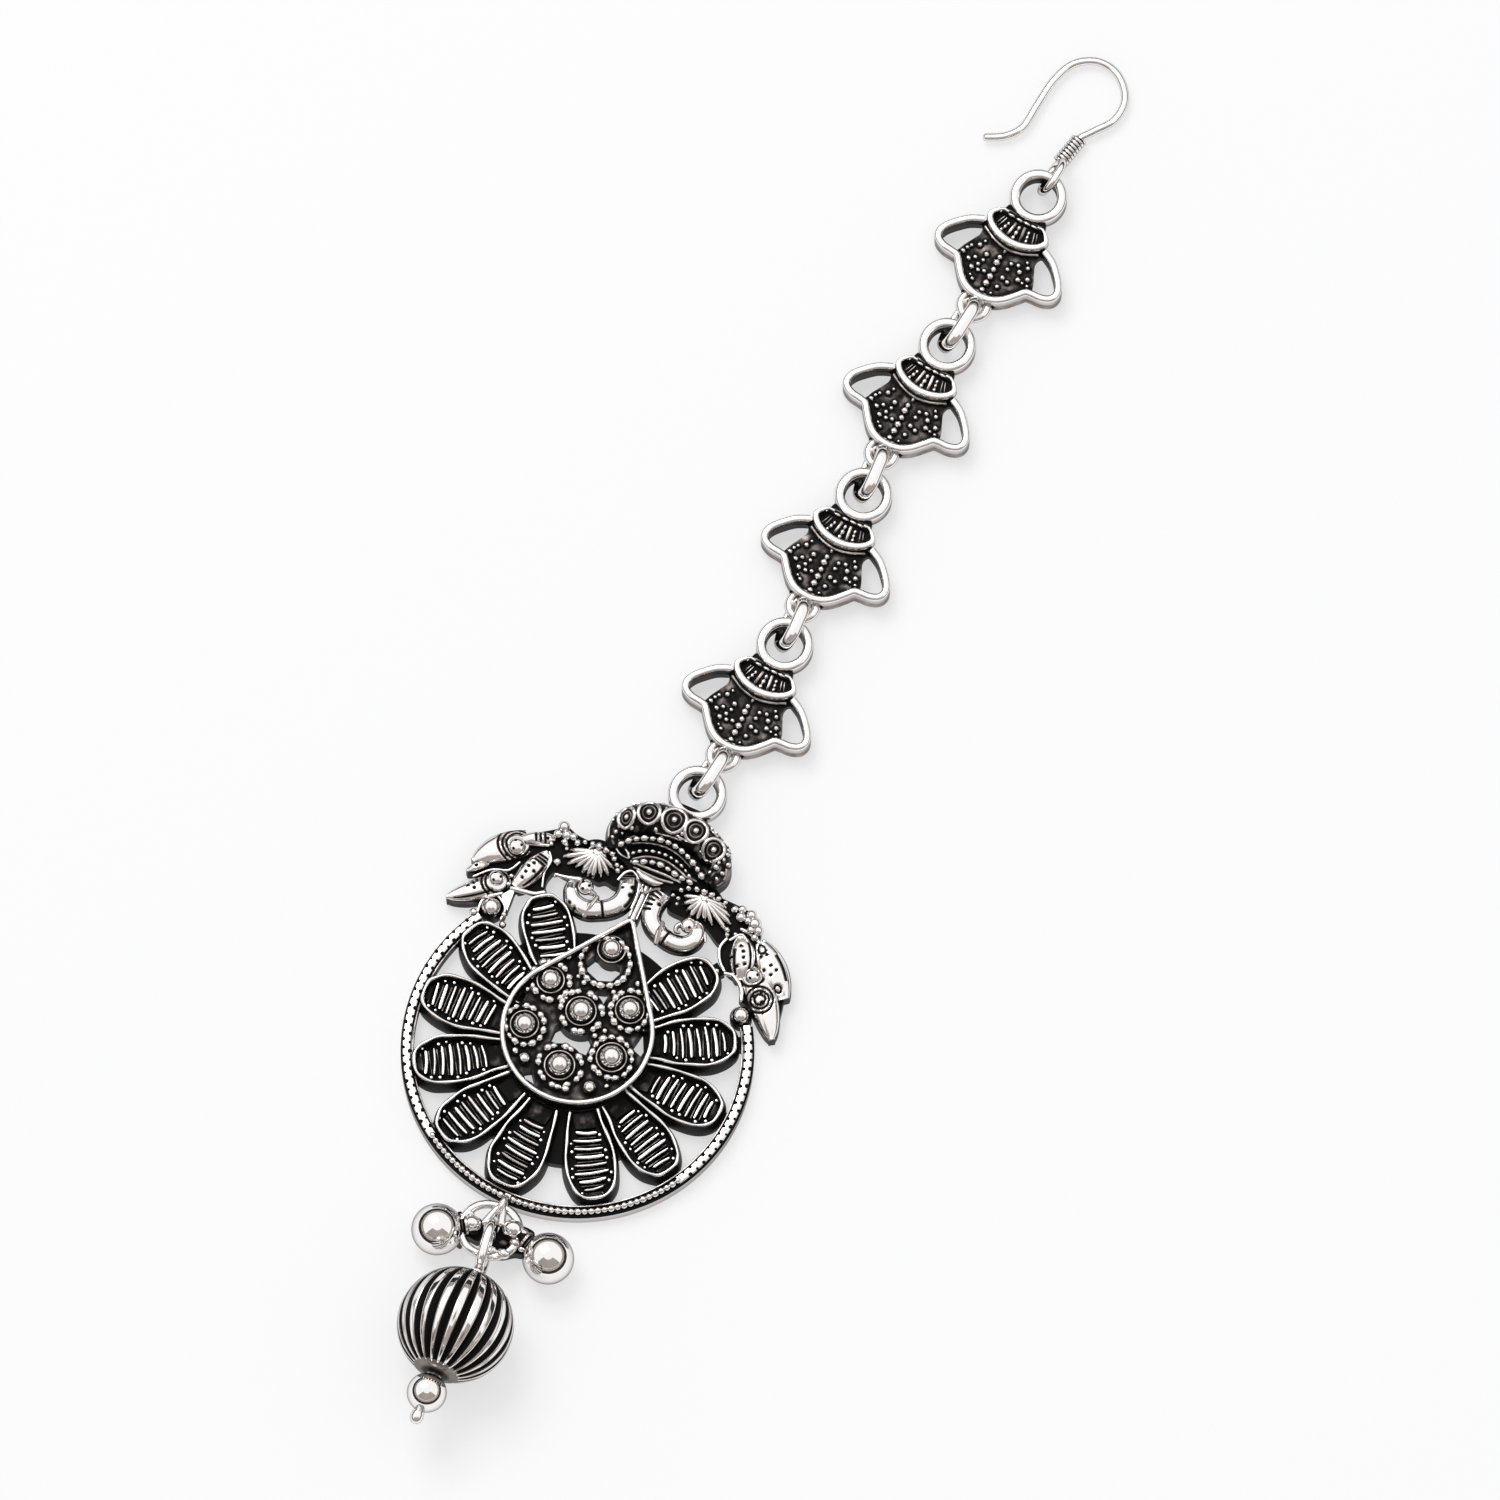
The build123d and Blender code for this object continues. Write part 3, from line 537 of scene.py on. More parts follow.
# ---- finishes
class NodeSheet:
    """Short ways to place and join shader nodes in one tree."""

    def __init__(self, tree: bpy.types.NodeTree) -> None:
        """Keeps the tree that the nodes go in."""
        self.tree = tree

    def node(self, kind: str, **settings: object) -> bpy.types.Node:
        """Places a node and sets its plain properties.

        Args:
            kind: The node's type.
            settings: Its plain properties.

        Returns:
            The node.
        """
        made = self.tree.nodes.new(kind)
        for key, value in settings.items():
            setattr(made, key, value)
        return made

    def join(self, source: Socket, target: Socket) -> None:
        """Joins an output to an input."""
        self.tree.links.new(source, target)

    def feed(self, socket: Socket, value: object) -> None:
        """Joins an output to a socket, or sets a number or a colour on it.

        Args:
            socket: The input socket.
            value: The output, the number, or the colour's three shares.
        """
        if isinstance(value, Socket):
            self.join(value, socket)
        else:
            socket.default_value = (*value, 1.0) if isinstance(value, tuple) else value

    def maths(self, operation: str, first: object, second: object,
              clamp: bool = False) -> Socket:
        """Places a Math node and returns its result; numbers go on its own sockets.

        Args:
            operation: What it works out.
            first: The first output or number.
            second: The second output or number.
            clamp: Whether the result stays from 0 to 1.

        Returns:
            The result.
        """
        made = self.node("ShaderNodeMath", operation=operation, use_clamp=clamp)
        self.feed(made.inputs[0], first)
        self.feed(made.inputs[1], second)
        return made.outputs[0]

    def blended(self, share: Socket, first: object, second: object) -> Socket:
        """Mixes two numbers by a share.

        Args:
            share: The share of the second number.
            first: The first output or number.
            second: The second output or number.

        Returns:
            The result.
        """
        made = self.node("ShaderNodeMix", data_type="FLOAT")
        self.join(share, made.inputs[0])
        self.feed(made.inputs[2], first)
        self.feed(made.inputs[3], second)
        return made.outputs[0]

    def mixed(self, share: Socket, first: object, second: object) -> Socket:
        """Mixes two colours by a share.

        Args:
            share: The share of the second colour.
            first: The first output or colour.
            second: The second output or colour.

        Returns:
            The result.
        """
        made = self.node("ShaderNodeMix", data_type="RGBA")
        self.join(share, made.inputs[0])
        self.feed(made.inputs[6], first)
        self.feed(made.inputs[7], second)
        return made.outputs[2]

    def ranged(self, value: Socket, low: float, high: float) -> Socket:
        """Eases a value from 0 at low to 1 at high.

        Args:
            value: The value.
            low: Where it starts.
            high: Where it ends.

        Returns:
            The result.
        """
        made = self.node("ShaderNodeMapRange", interpolation_type="SMOOTHSTEP")
        self.join(value, made.inputs["Value"])
        made.inputs["From Min"].default_value = low
        made.inputs["From Max"].default_value = high
        return made.outputs[0]

    def noise(self, where: Socket, scale: float, detail: float = 3.0) -> Socket:
        """Places a noise texture and returns its value.

        Args:
            where: The coordinates.
            scale: The scale of the noise.
            detail: How fine it goes.

        Returns:
            The value.
        """
        made = self.node("ShaderNodeTexNoise")
        made.inputs["Scale"].default_value = scale
        made.inputs["Detail"].default_value = detail
        self.join(where, made.inputs["Vector"])
        return made.outputs[0]


def new_material(name: str) -> tuple[bpy.types.Material, NodeSheet, bpy.types.Node]:
    """Starts a material.

    Args:
        name: Its name.

    Returns:
        The material, its sheet of nodes and its shader.
    """
    material = bpy.data.materials.new(name)
    material.use_nodes = True
    return material, NodeSheet(material.node_tree), material.node_tree.nodes["Principled BSDF"]


def new_group(name: str, numbers: dict[str, float],
              outputs: dict[str, str]) -> tuple[bpy.types.NodeTree, NodeSheet]:
    """Starts a shader node group with number inputs and typed outputs.

    Args:
        name: Its name.
        numbers: The inputs and their values.
        outputs: The outputs and their types.

    Returns:
        The group's tree and its sheet of nodes.
    """
    tree = bpy.data.node_groups.new(name, "ShaderNodeTree")
    for label, value in numbers.items():
        socket = tree.interface.new_socket(label, in_out="INPUT", socket_type="NodeSocketFloat")
        socket.default_value = value
    for label, kind in outputs.items():
        tree.interface.new_socket(label, in_out="OUTPUT", socket_type=kind)
    return tree, NodeSheet(tree)


def crevice_oxide_group() -> bpy.types.NodeTree:
    """Black oxide where a polishing cloth doesn't reach: crevices, and the floors drawn as black.

    Returns:
        A group with the inputs Reach, Depth and Patches and the outputs Mask and Grime.
    """
    tree, sheet = new_group("crevice_oxide", {"Reach": 0.0008, "Depth": 0.5, "Patches": 0.25},
                            {"Mask": "NodeSocketFloat", "Grime": "NodeSocketFloat"})
    inputs = sheet.node("NodeGroupInput")
    outputs = sheet.node("NodeGroupOutput")
    drawn = sheet.node("ShaderNodeAttribute", attribute_name="oxide", attribute_type="GEOMETRY")
    where = sheet.node("ShaderNodeTexCoord").outputs["Object"]
    open_sky = sheet.node("ShaderNodeAmbientOcclusion", samples=6)
    sheet.join(inputs.outputs["Reach"], open_sky.inputs["Distance"])
    closed_in = sheet.maths("SUBTRACT", 1.0, open_sky.outputs["AO"])
    crevice = sheet.maths("MULTIPLY", closed_in, inputs.outputs["Depth"])
    patchy = sheet.maths("SUBTRACT", sheet.noise(where, 900.0, 4.0), 0.5)
    patches = sheet.maths("MULTIPLY", patchy, inputs.outputs["Patches"])
    total = sheet.maths("ADD", sheet.maths("ADD", crevice, drawn.outputs["Fac"]), patches)
    sheet.join(sheet.ranged(total, 0.3, 0.62), outputs.inputs["Mask"])
    sheet.join(sheet.ranged(total, 0.08, 0.5), outputs.inputs["Grime"])
    return tree


def hand_finish_group() -> bpy.types.NodeTree:
    """Small dents and polishing marks of hand-finished silver.

    Returns:
        A group with the inputs Dents and Marks and the output Height.
    """
    tree, sheet = new_group("hand_finish", {"Dents": 0.5, "Marks": 0.3}, {"Height": "NodeSocketFloat"})
    inputs = sheet.node("NodeGroupInput")
    outputs = sheet.node("NodeGroupOutput")
    where = sheet.node("ShaderNodeTexCoord").outputs["Object"]
    dents = sheet.maths("MULTIPLY", sheet.noise(where, 420.0, 2.0), inputs.outputs["Dents"])
    marks = sheet.maths("MULTIPLY", sheet.noise(where, 2600.0, 3.0), inputs.outputs["Marks"])
    sheet.join(sheet.maths("ADD", dents, marks), outputs.inputs["Height"])
    return tree


@dataclass(frozen=True)
class OxidisedSilver:
    """Silver blackened all over and polished back on its high places."""

    name: str
    bright: Triple = (0.93, 0.905, 0.885)
    warm: Triple = (0.52, 0.455, 0.42)
    black: Triple = (0.009, 0.008, 0.0075)
    edge_tint: Triple = (0.3, 0.29, 0.3)
    gloss: float = 0.14
    black_roughness: float = 0.42
    reach_mm: float = 0.8
    depth: float = 0.5
    patches: float = 0.25
    dents: float = 0.5
    marks: float = 0.25
    bump: float = 0.12

    def build(self, oxide: bpy.types.NodeTree, hand: bpy.types.NodeTree) -> bpy.types.Material:
        """Makes the material.

        Args:
            oxide: The crevice oxide group.
            hand: The hand finish group.

        Returns:
            The material.
        """
        material, sheet, shader = new_material(self.name)
        grime = sheet.node("ShaderNodeGroup", node_tree=oxide)
        grime.inputs["Reach"].default_value = self.reach_mm * MM
        grime.inputs["Depth"].default_value = self.depth
        grime.inputs["Patches"].default_value = self.patches
        worked = sheet.node("ShaderNodeGroup", node_tree=hand)
        worked.inputs["Dents"].default_value = self.dents
        worked.inputs["Marks"].default_value = self.marks
        toned = sheet.mixed(grime.outputs["Grime"], self.bright, self.warm)
        mask = grime.outputs["Mask"]
        sheet.join(sheet.mixed(mask, toned, self.black), shader.inputs["Base Color"])
        sheet.join(sheet.blended(mask, self.gloss, self.black_roughness), shader.inputs["Roughness"])
        sheet.join(sheet.blended(mask, 1.0, 0.0), shader.inputs["Metallic"])
        shader.inputs["Specular IOR Level"].default_value = 0.12
        shader.inputs["Specular Tint"].default_value = (*self.edge_tint, 1.0)
        bump = sheet.node("ShaderNodeBump")
        bump.inputs["Strength"].default_value = self.bump
        bump.inputs["Distance"].default_value = 0.12 * MM
        sheet.join(worked.outputs["Height"], bump.inputs["Height"])
        sheet.join(bump.outputs["Normal"], shader.inputs["Normal"])
        return material


class Finishes:
    """Every finish of the ornament, made once."""

    def __init__(self) -> None:
        """Builds the shared groups and the materials."""
        oxide = crevice_oxide_group()
        hand = hand_finish_group()
        self.cast = OxidisedSilver("cast_silver", gloss=0.15, depth=0.5, patches=0.5).build(oxide, hand)
        self.relief = OxidisedSilver("relief_silver", gloss=0.15, depth=0.42, reach_mm=0.6,
                                     patches=0.4).build(oxide, hand)
        self.polished = OxidisedSilver("polished_silver", gloss=0.07, depth=0.4, patches=0.1,
                                       dents=0.35, marks=0.05).build(oxide, hand)
        self.drawn = OxidisedSilver("drawn_wire", gloss=0.12, depth=0.4, patches=0.12, reach_mm=0.5,
                                    dents=0.2, marks=0.15).build(oxide, hand)


# ---- chain
@dataclass
class Work:
    """A sub-assembly, with its finishes and the mesh that it draws."""

    finishes: Finishes
    draft: Draft = field(default_factory=Draft, init=False)


@dataclass
class Link(Work):
    """One cast leaf link: ring, beaded neck, ribbed collar, body with side loops, and eyelet."""

    number: int
    x: float
    y: float
    lean_deg: float
    base: float = 1.1
    ring_middle_r: float = 2.37
    ring_width: float = 1.0
    ring_low: float = 0.95
    ring_top: float = 2.75
    floor_top: float = 1.9
    wall_low: float = 0.55
    wall_width: float = 0.76
    wall_top: float = 2.9
    neck_top: float = 2.3
    collar_top: float = 3.2
    collar_width: float = 0.8
    grain_size: float = 1.2     # the size of the body's granules as a share of their radius
    eyelet_y: float = -12.9
    eyelet_r: float = 1.36
    eyelet_wire_r: float = 0.46

    # Half of the body's raised edge, from the collar round the side loop to the tip
    EDGE = [
        (3.5, -4.75), (4.75, -5.4), (5.8, -6.4), (6.5, -7.3), (6.75, -8.1), (6.45, -8.8), (5.6, -9.2),
        (4.6, -9.3), (3.95, -9.45), (3.35, -10.15), (2.4, -11.2), (1.35, -11.85)]
    TIP = (0, -12.1)
    OPENING = [
        (3.5, -5.3), (4.6, -5.8), (5.6, -6.7), (6.2, -7.55), (6.4, -8.15), (6.1, -8.65), (5.4, -8.9),
        (4.55, -8.95), (4.25, -8.6), (4, -7.9), (3.5, -6.9), (3.15, -6)]
    # Half of the collar's lower rim, from its top corner to the middle of its foot
    RIM = [(2.6, -3.2), (3.15, -3.95), (2.75, -4.75), (1.55, -5.42)]
    RIM_FOOT = (0, -5.7)
    DASHES = [(-1.3, -3.12), (-0.35, -3.16), (0.5, -3.12), (1.3, -3.06)]
    # Beads of the collar's ribs: x, y, radius
    RIB_BEADS = [
        (0, -3.85, 0.2), (0, -4.45, 0.24), (-0.03, -5.05, 0.24), (-1.15, -3.95, 0.16), (-1.3, -4.4, 0.2),
        (-1.5, -4.85, 0.18), (1.12, -3.85, 0.17), (1.2, -4.3, 0.17), (1.3, -4.75, 0.19)]
    # Granules of the body: x, y, radius
    GRANULES = [
        (-0.2, -7.35, 0.25), (-0.2, -8, 0.33), (-0.1, -8.8, 0.27), (-0.05, -9.6, 0.33), (-0.05, -10.4, 0.33),
        (-0.05, -11.25, 0.29), (-2.6, -7.2, 0.24), (-2.3, -6.6, 0.15), (-3.3, -7.65, 0.17),
        (-3.55, -8.05, 0.18), (-3.75, -8.6, 0.25), (-2.9, -9, 0.25), (-2.35, -8.55, 0.2), (-1.5, -7.75, 0.25),
        (-1.5, -8.45, 0.18), (-1.75, -9.05, 0.2), (-2.2, -9.65, 0.26), (-1.45, -9.6, 0.2), (-0.85, -9.4, 0.2),
        (-1.5, -10.7, 0.2), (-1.9, -10.4, 0.14), (2.5, -6.5, 0.16), (2.85, -7, 0.22), (1.85, -7.2, 0.21),
        (1.15, -7.4, 0.2), (2.3, -7.75, 0.25), (3.4, -8.05, 0.25), (1.1, -8.1, 0.2), (2.55, -8.55, 0.26),
        (1.1, -9.1, 0.23), (1.75, -9.3, 0.22), (1.1, -10.2, 0.22), (3.1, -8.65, 0.15), (0.9, -11.1, 0.14),
        (3.7, -8.7, 0.16)]
    # Balls of solder behind the eyelet: x, y, radius
    SOLDER_BALLS = [(1.5, -12, 0.42), (-1.55, -12.1, 0.36), (1.1, -12.25, 0.3)]
    NECK = [(-2.15, -2.1), (2.15, -2.1), (2.5, -3.3), (-2.5, -3.3)]
    NECK_LINE = [(-1.9, -2.62), (0, -2.68), (1.9, -2.6)]
    # Ribs of the collar on one side: x at the top, x at the foot, width
    RIBS = [(0.5, 0.72, 0.3), (1.6, 1.95, 0.12), (1.9, 2.3, 0.12)]
    FOLD = [(3.05, -5.3), (1.6, -6), (0, -6.3), (-1.6, -6), (-3.05, -5.3)]

    def build(self) -> None:
        """Draws the link and makes its piece."""
        draft = self.draft
        self.draw_ring()
        self.draw_body()
        self.draw_collar()
        place = turned_place(self.x, self.y, self.lean_deg)
        draft.finish(f"cast_link_{self.number}", self.finishes.cast, Slot.LINK, f"link_{self.number}", place)

    def draw_ring(self) -> None:
        """Draws the smooth ring at the top and the eyelet at the bottom."""
        draft = self.draft
        ring = ring_line(0, 0.05, self.ring_middle_r, 72)
        draft.rail(ring, self.ring_width, self.ring_low, self.ring_top, True, left=1.0, right=0.0, corner=0.4,
                   lip=0.75, foot=(1.0, 0.34))
        for x, y, radius in self.SOLDER_BALLS:
            draft.ball((x, y, self.base + 0.35), radius, oxide=1.0, sides=14)
        eyelet = at_height(ring_line(0, self.eyelet_y, self.eyelet_r, 40), self.base + 0.42)
        draft.wire(eyelet, self.eyelet_wire_r, True)

    def draw_body(self) -> None:
        """Draws the mottled floor with its two openings, its granules and the bright raised edge."""
        draft = self.draft
        half = [(3.0, -3.6), *self.EDGE]
        outline = curved([*half, self.TIP, *mirrored(half)], pieces=6)
        openings = [curved([(side * x, y) for x, y in self.OPENING], True, 4) for side in (1, -1)]
        draft.plate(outline, self.base, self.floor_top, 0.53, 1.0, openings)
        edge = curved([*self.EDGE, self.TIP, *mirrored(self.EDGE)])
        draft.rail(edge, self.wall_width, self.wall_low, self.wall_top, left=0.0, right=1.0, corner=0.3,
                   lip=0.85, foot=(0.36, 1.0))
        for x, y, radius in self.GRANULES:
            size, top = radius * self.grain_size, self.floor_top
            draft.ball((x, y, top + 0.2), size, (1.05, 0.95, 1.0), skirt=0.2)
            draft.plate(ring_line(x, y, size + 0.14, 12), top - 0.1, top + 0.03, 1.0)

    def draw_collar(self) -> None:
        """Draws the black neck, its dashes, and the ribbed lens in its bright rim."""
        draft = self.draft
        draft.plate(self.NECK, self.base, self.neck_top, 1.0)
        draft.wire(at_height(np.array(self.NECK_LINE), self.neck_top), 0.1, oxide=0.42)
        for x, y in self.DASHES:
            draft.ball((x, y, 2.72), 0.18, (2.2, 0.85, 1.0), skirt=0.4)
        rim = curved([*self.RIM, self.RIM_FOOT, *mirrored(self.RIM)])
        draft.plate(rim, self.base, self.neck_top, 1.0)
        swell = np.interp(np.linspace(0, 1, len(rim)), [0, 0.2, 0.5, 0.8, 1], [0.45, 0.85, 1.0, 0.85, 0.45])
        section = bar(self.collar_width, -1.3, 0.0, 0.3)
        share = np.where((section[:, 0] > 0.1) & (section[:, 1] < -0.22), 1.0, 0.0)
        draft.sweep(at_height(rim, self.collar_top), section, False, True, share, swell)
        for side in (1, -1):
            corner = np.array([(side * 2.6, -3.2), (side * 2.2, -2.95), (side * 1.75, -2.98)])
            draft.wire(at_height(corner, 3.0), 0.15, round_ends=True)
        for x, y, radius in self.RIB_BEADS:
            draft.ball((x, y, 2.5), radius * 1.15, (0.9, 1.25, 1.0), skirt=0.15)
        for side in (1, -1):
            for top_x, foot_x, width in self.RIBS:
                rib = np.linspace((side * top_x, -3.5), (side * foot_x, -5.3 + foot_x * 0.35), 4)
                draft.sweep(at_height(rib, self.neck_top), bar(width, -0.2, 0.2, 0.05), oxide=0.4)
        draft.wire(at_height(curved(self.FOLD), self.neck_top), 0.15, oxide=0.3)
        draft.ball((-0.05, -6.6, 2.2), 0.2, (0.9, 1.3, 1.0), oxide=0.3)


@dataclass
class JumpRing(Work):
    """An upright oval wire ring that joins two links, leaning to its side."""

    number: int
    top: Point
    bottom: Point
    bend_r: float = 1.75
    slack: float = 3.05
    tilt_deg: float = 22.5
    side: float = -0.2
    strap: Point = (0.7, 0.43)

    def build(self) -> None:
        """Draws the ring between an eyelet and the ring below it."""
        run = Vector(self.top) - Vector(self.bottom)
        middle = (Vector(self.top) + Vector(self.bottom)) / 2
        height = 0.6 + self.bend_r * math.cos(math.radians(self.tilt_deg))
        centre = (middle.x + self.side, middle.y, height)
        line = upright_oval(centre, Vector((run.x, run.y, 0)), self.tilt_deg, self.bend_r,
                            run.length - self.slack)
        draft = self.draft
        draft.sweep(line, round_section(1.0, 22) * self.strap, True, False)
        draft.finish(f"wire_ring_{self.number}", self.finishes.drawn, Slot.WIRE, f"jump_ring_{self.number}")


def upright_oval(centre: Sequence[float], run: Vector, tilt_deg: float, bend_r: float,
                 straight: float, steps: int = 20) -> np.ndarray:
    """The line of an upright oval ring that leans to its right.

    Args:
        centre: The middle of the oval.
        run: The direction of its long way, on the flat.
        tilt_deg: How far its top leans.
        bend_r: The radius of its two bends.
        straight: The length of its straight runs.
        steps: Pieces of each bend.

    Returns:
        The closed line.
    """
    along = Vector((run.x, run.y, 0)).normalized()
    side = Vector((along.y, -along.x, 0))
    tilt = math.radians(tilt_deg)
    normal = side * math.cos(tilt) - Vector((0, 0, 1)) * math.sin(tilt)
    rise = normal.cross(along)
    line = []
    for end, start in ((1, math.pi / 2), (-1, -math.pi / 2)):
        for n in range(steps + 1):
            angle = start - math.pi * n / steps
            u = end * straight / 2 + bend_r * math.cos(angle)
            line.append(Vector(centre) + along * u + rise * (bend_r * math.sin(angle)))
    return np.array(line)


@dataclass
class Hook(Work):
    """The open wire hook with its wrapped coil and its eye."""

    wire_r: float = 0.4
    height: float = 0.82
    coil_turns: int = 8
    coil_steps: int = 24
    coil_wire_r: float = 0.165
    coil_r: float = 0.66
    coil_pitch: float = 0.4
    eye_centre: Triple = (6.08, 103.15, 1.8)
    eye_bend_r: float = 1.45
    eye_straight: float = 0.8
    eye_tilt_deg: float = 22.0
    eye_heading_deg: float = -7.0

    WIRE = [
        (-1.75, 104.6), (0, 105.55), (1.15, 107.1), (1.5, 109.8), (1.95, 112.8), (3.05, 115.2), (5.2, 116.45),
        (7.6, 116), (9.3, 113.95), (9.25, 111.5), (7.8, 109.5), (6.9, 108.4)]
    FOOT = (6.05, 105.1)

    def build(self) -> None:
        """Draws the hook."""
        draft = self.draft
        line = np.vstack([curved(self.WIRE), self.FOOT])
        draft.wire(at_height(line, self.height), self.wire_r, sides=20, round_ends=True)
        foot = Vector((*self.FOOT, self.height))
        run = (Vector((*self.WIRE[-1], self.height)) - foot).normalized()
        self.draw_coil(foot, run)
        self.draw_eye(foot)
        draft.finish("wire_hook", self.finishes.drawn, Slot.WIRE, "hook")

    def draw_coil(self, foot: Vector, run: Vector) -> None:
        """Draws the close turns of thin wire round the blackened stem.

        Args:
            foot: Where the coil starts.
            run: The way that it goes.
        """
        draft = self.draft
        stem = np.array([foot, foot + run * (self.coil_pitch * self.coil_turns)])
        draft.wire(stem, self.coil_r - 0.1, oxide=1.0)
        side = Vector((run.y, -run.x, 0))
        up = Vector((0, 0, 1))
        line = []
        for n in range(self.coil_turns * self.coil_steps + 1):
            angle = 2 * math.pi * n / self.coil_steps
            out = side * math.cos(angle) + up * math.sin(angle)
            line.append(foot + run * (self.coil_pitch * n / self.coil_steps) + out * self.coil_r)
        draft.wire(np.array(line), self.coil_wire_r, sides=10, round_ends=True)

    def draw_eye(self, foot: Vector) -> None:
        """Draws the upright eye through the first link's ring, and the wire up to the coil.

        Args:
            foot: The lower end of the stem.
        """
        draft = self.draft
        heading = math.radians(self.eye_heading_deg)
        run = Vector((-math.sin(heading), math.cos(heading), 0))
        line = upright_oval(self.eye_centre, run, self.eye_tilt_deg, self.eye_bend_r, self.eye_straight)
        draft.wire(line, self.wire_r, True, sides=18)
        top = line[int(np.argmin(np.linalg.norm(line - np.array(foot), axis=1)))]
        draft.wire(np.linspace(top, np.array(foot), 6), self.wire_r, sides=16)


# ---- drop
@dataclass
class BallRing(Work):
    """The wire ring below the rim, with a large and a small ball on a neck at either side."""

    centre: Point = (-0.1, -21.15)
    turn_deg: float = 8.6
    height: float = 2.6
    wire_r: float = 0.44
    bend_r: float = 2.65
    straight: float = 0.6
    ball_r: float = 2.6

    # Big ball, small ball, radius of the small ball
    PAIRS = [((-4.95, -23.2), (-2, -21.3), 0.9), ((6.4, -21.5), (2, -20.2), 1.05)]
    # Lumps of solder and trim: x, y, radius, share of oxide
    KNOTS = [
        (3, -20.15, 0.56, 0), (3.55, -20.5, 0.42, 0.1), (-2.6, -20.4, 0.4, 0), (-3.2, -20.9, 0.3, 0.2),
        (-2.85, -22, 0.36, 0.2), (2.75, -21.4, 0.56, 0.25), (1.75, -21.9, 0.4, 0.5), (0.95, -23.05, 0.55, 0),
        (2.1, -22.9, 0.62, 0), (1.5, -23.6, 0.36, 0.1), (3.6, -21.7, 0.32, 0), (-3.5, -22.3, 0.36, 0.3),
        (2.2, -21.2, 0.3, 1), (-1.6, -21.9, 0.4, 0.9), (2.4, -22.1, 0.3, 1)]
    # Outlines of the black plates behind them, painted shade under the necks and knots
    SHADE_PLATES = [
        [(-3.9, -20.5), (-2.9, -20.3), (-1.2, -20.4), (-0.7, -22.4), (-2.1, -22.5), (-2.3, -23.5),
         (-3.3, -23.1), (-3.9, -21.8)],
        [(0.6, -20.3), (1.2, -19.4), (3.1, -19.2), (4.1, -19.6), (4, -21.7), (3, -22.2), (2, -22.9),
         (1.1, -23), (0.7, -22.4)]]
    # The two legs of the broad loop under the rim
    LEGS = [[(-0.1, -18.5), (-0.45, -19.3), (-0.85, -20.6)], [(0.1, -18.5), (0.4, -19.2), (0.65, -20.1)]]

    def build(self) -> None:
        """Draws the ring, its necks and its balls."""
        draft = self.draft
        turn = math.radians(self.turn_deg)
        way = Vector((math.cos(turn), math.sin(turn), 0))
        oval = upright_oval((*self.centre, self.height), way, 90.0, self.bend_r, self.straight)
        draft.wire(oval, self.wire_r, True, sides=18)
        for big, small, small_r in self.PAIRS:
            run = Vector((small[0] - big[0], small[1] - big[1], 0))
            neck = [(0.8, self.ball_r * 0.93), (0.72, self.ball_r + 0.08), (0.95, self.ball_r + 0.2),
                    (0.95, self.ball_r + 0.42), (0.7, self.ball_r + 0.55), (0.6, run.length)]
            draft.turned(neck, (*big, self.height), run.normalized(), 24, [0.3, 0.6, 0.3, 0.3, 0.7, 0.5])
            draft.ball((*big, self.height), self.ball_r, sides=72)
            draft.ball((*small, self.height + 0.15), small_r, (1.05, 0.95, 1.0), turn, sides=32)
        # Low black plates behind the knots and necks: painted shade
        for outline in self.SHADE_PLATES:
            draft.plate(curved(outline, True, 4), 0.3, 1.9, 1.0)
        for leg in self.LEGS:
            line = at_height(curved(leg, pieces=6), np.linspace(3.1, 2.7, 13))
            draft.wire(line, 0.4, scale=np.linspace(0.8, 1.1, 13), sides=16, round_ends=True)
        for x, y, radius, oxide in self.KNOTS:
            draft.ball((x, y, self.height + 0.1), radius, (1.15, 0.9, 0.95), turn, oxide, sides=20, skirt=0.3)
        draft.finish("ball_ring_cast", self.finishes.polished, Slot.DROP, "ball_ring", crease_deg=60)


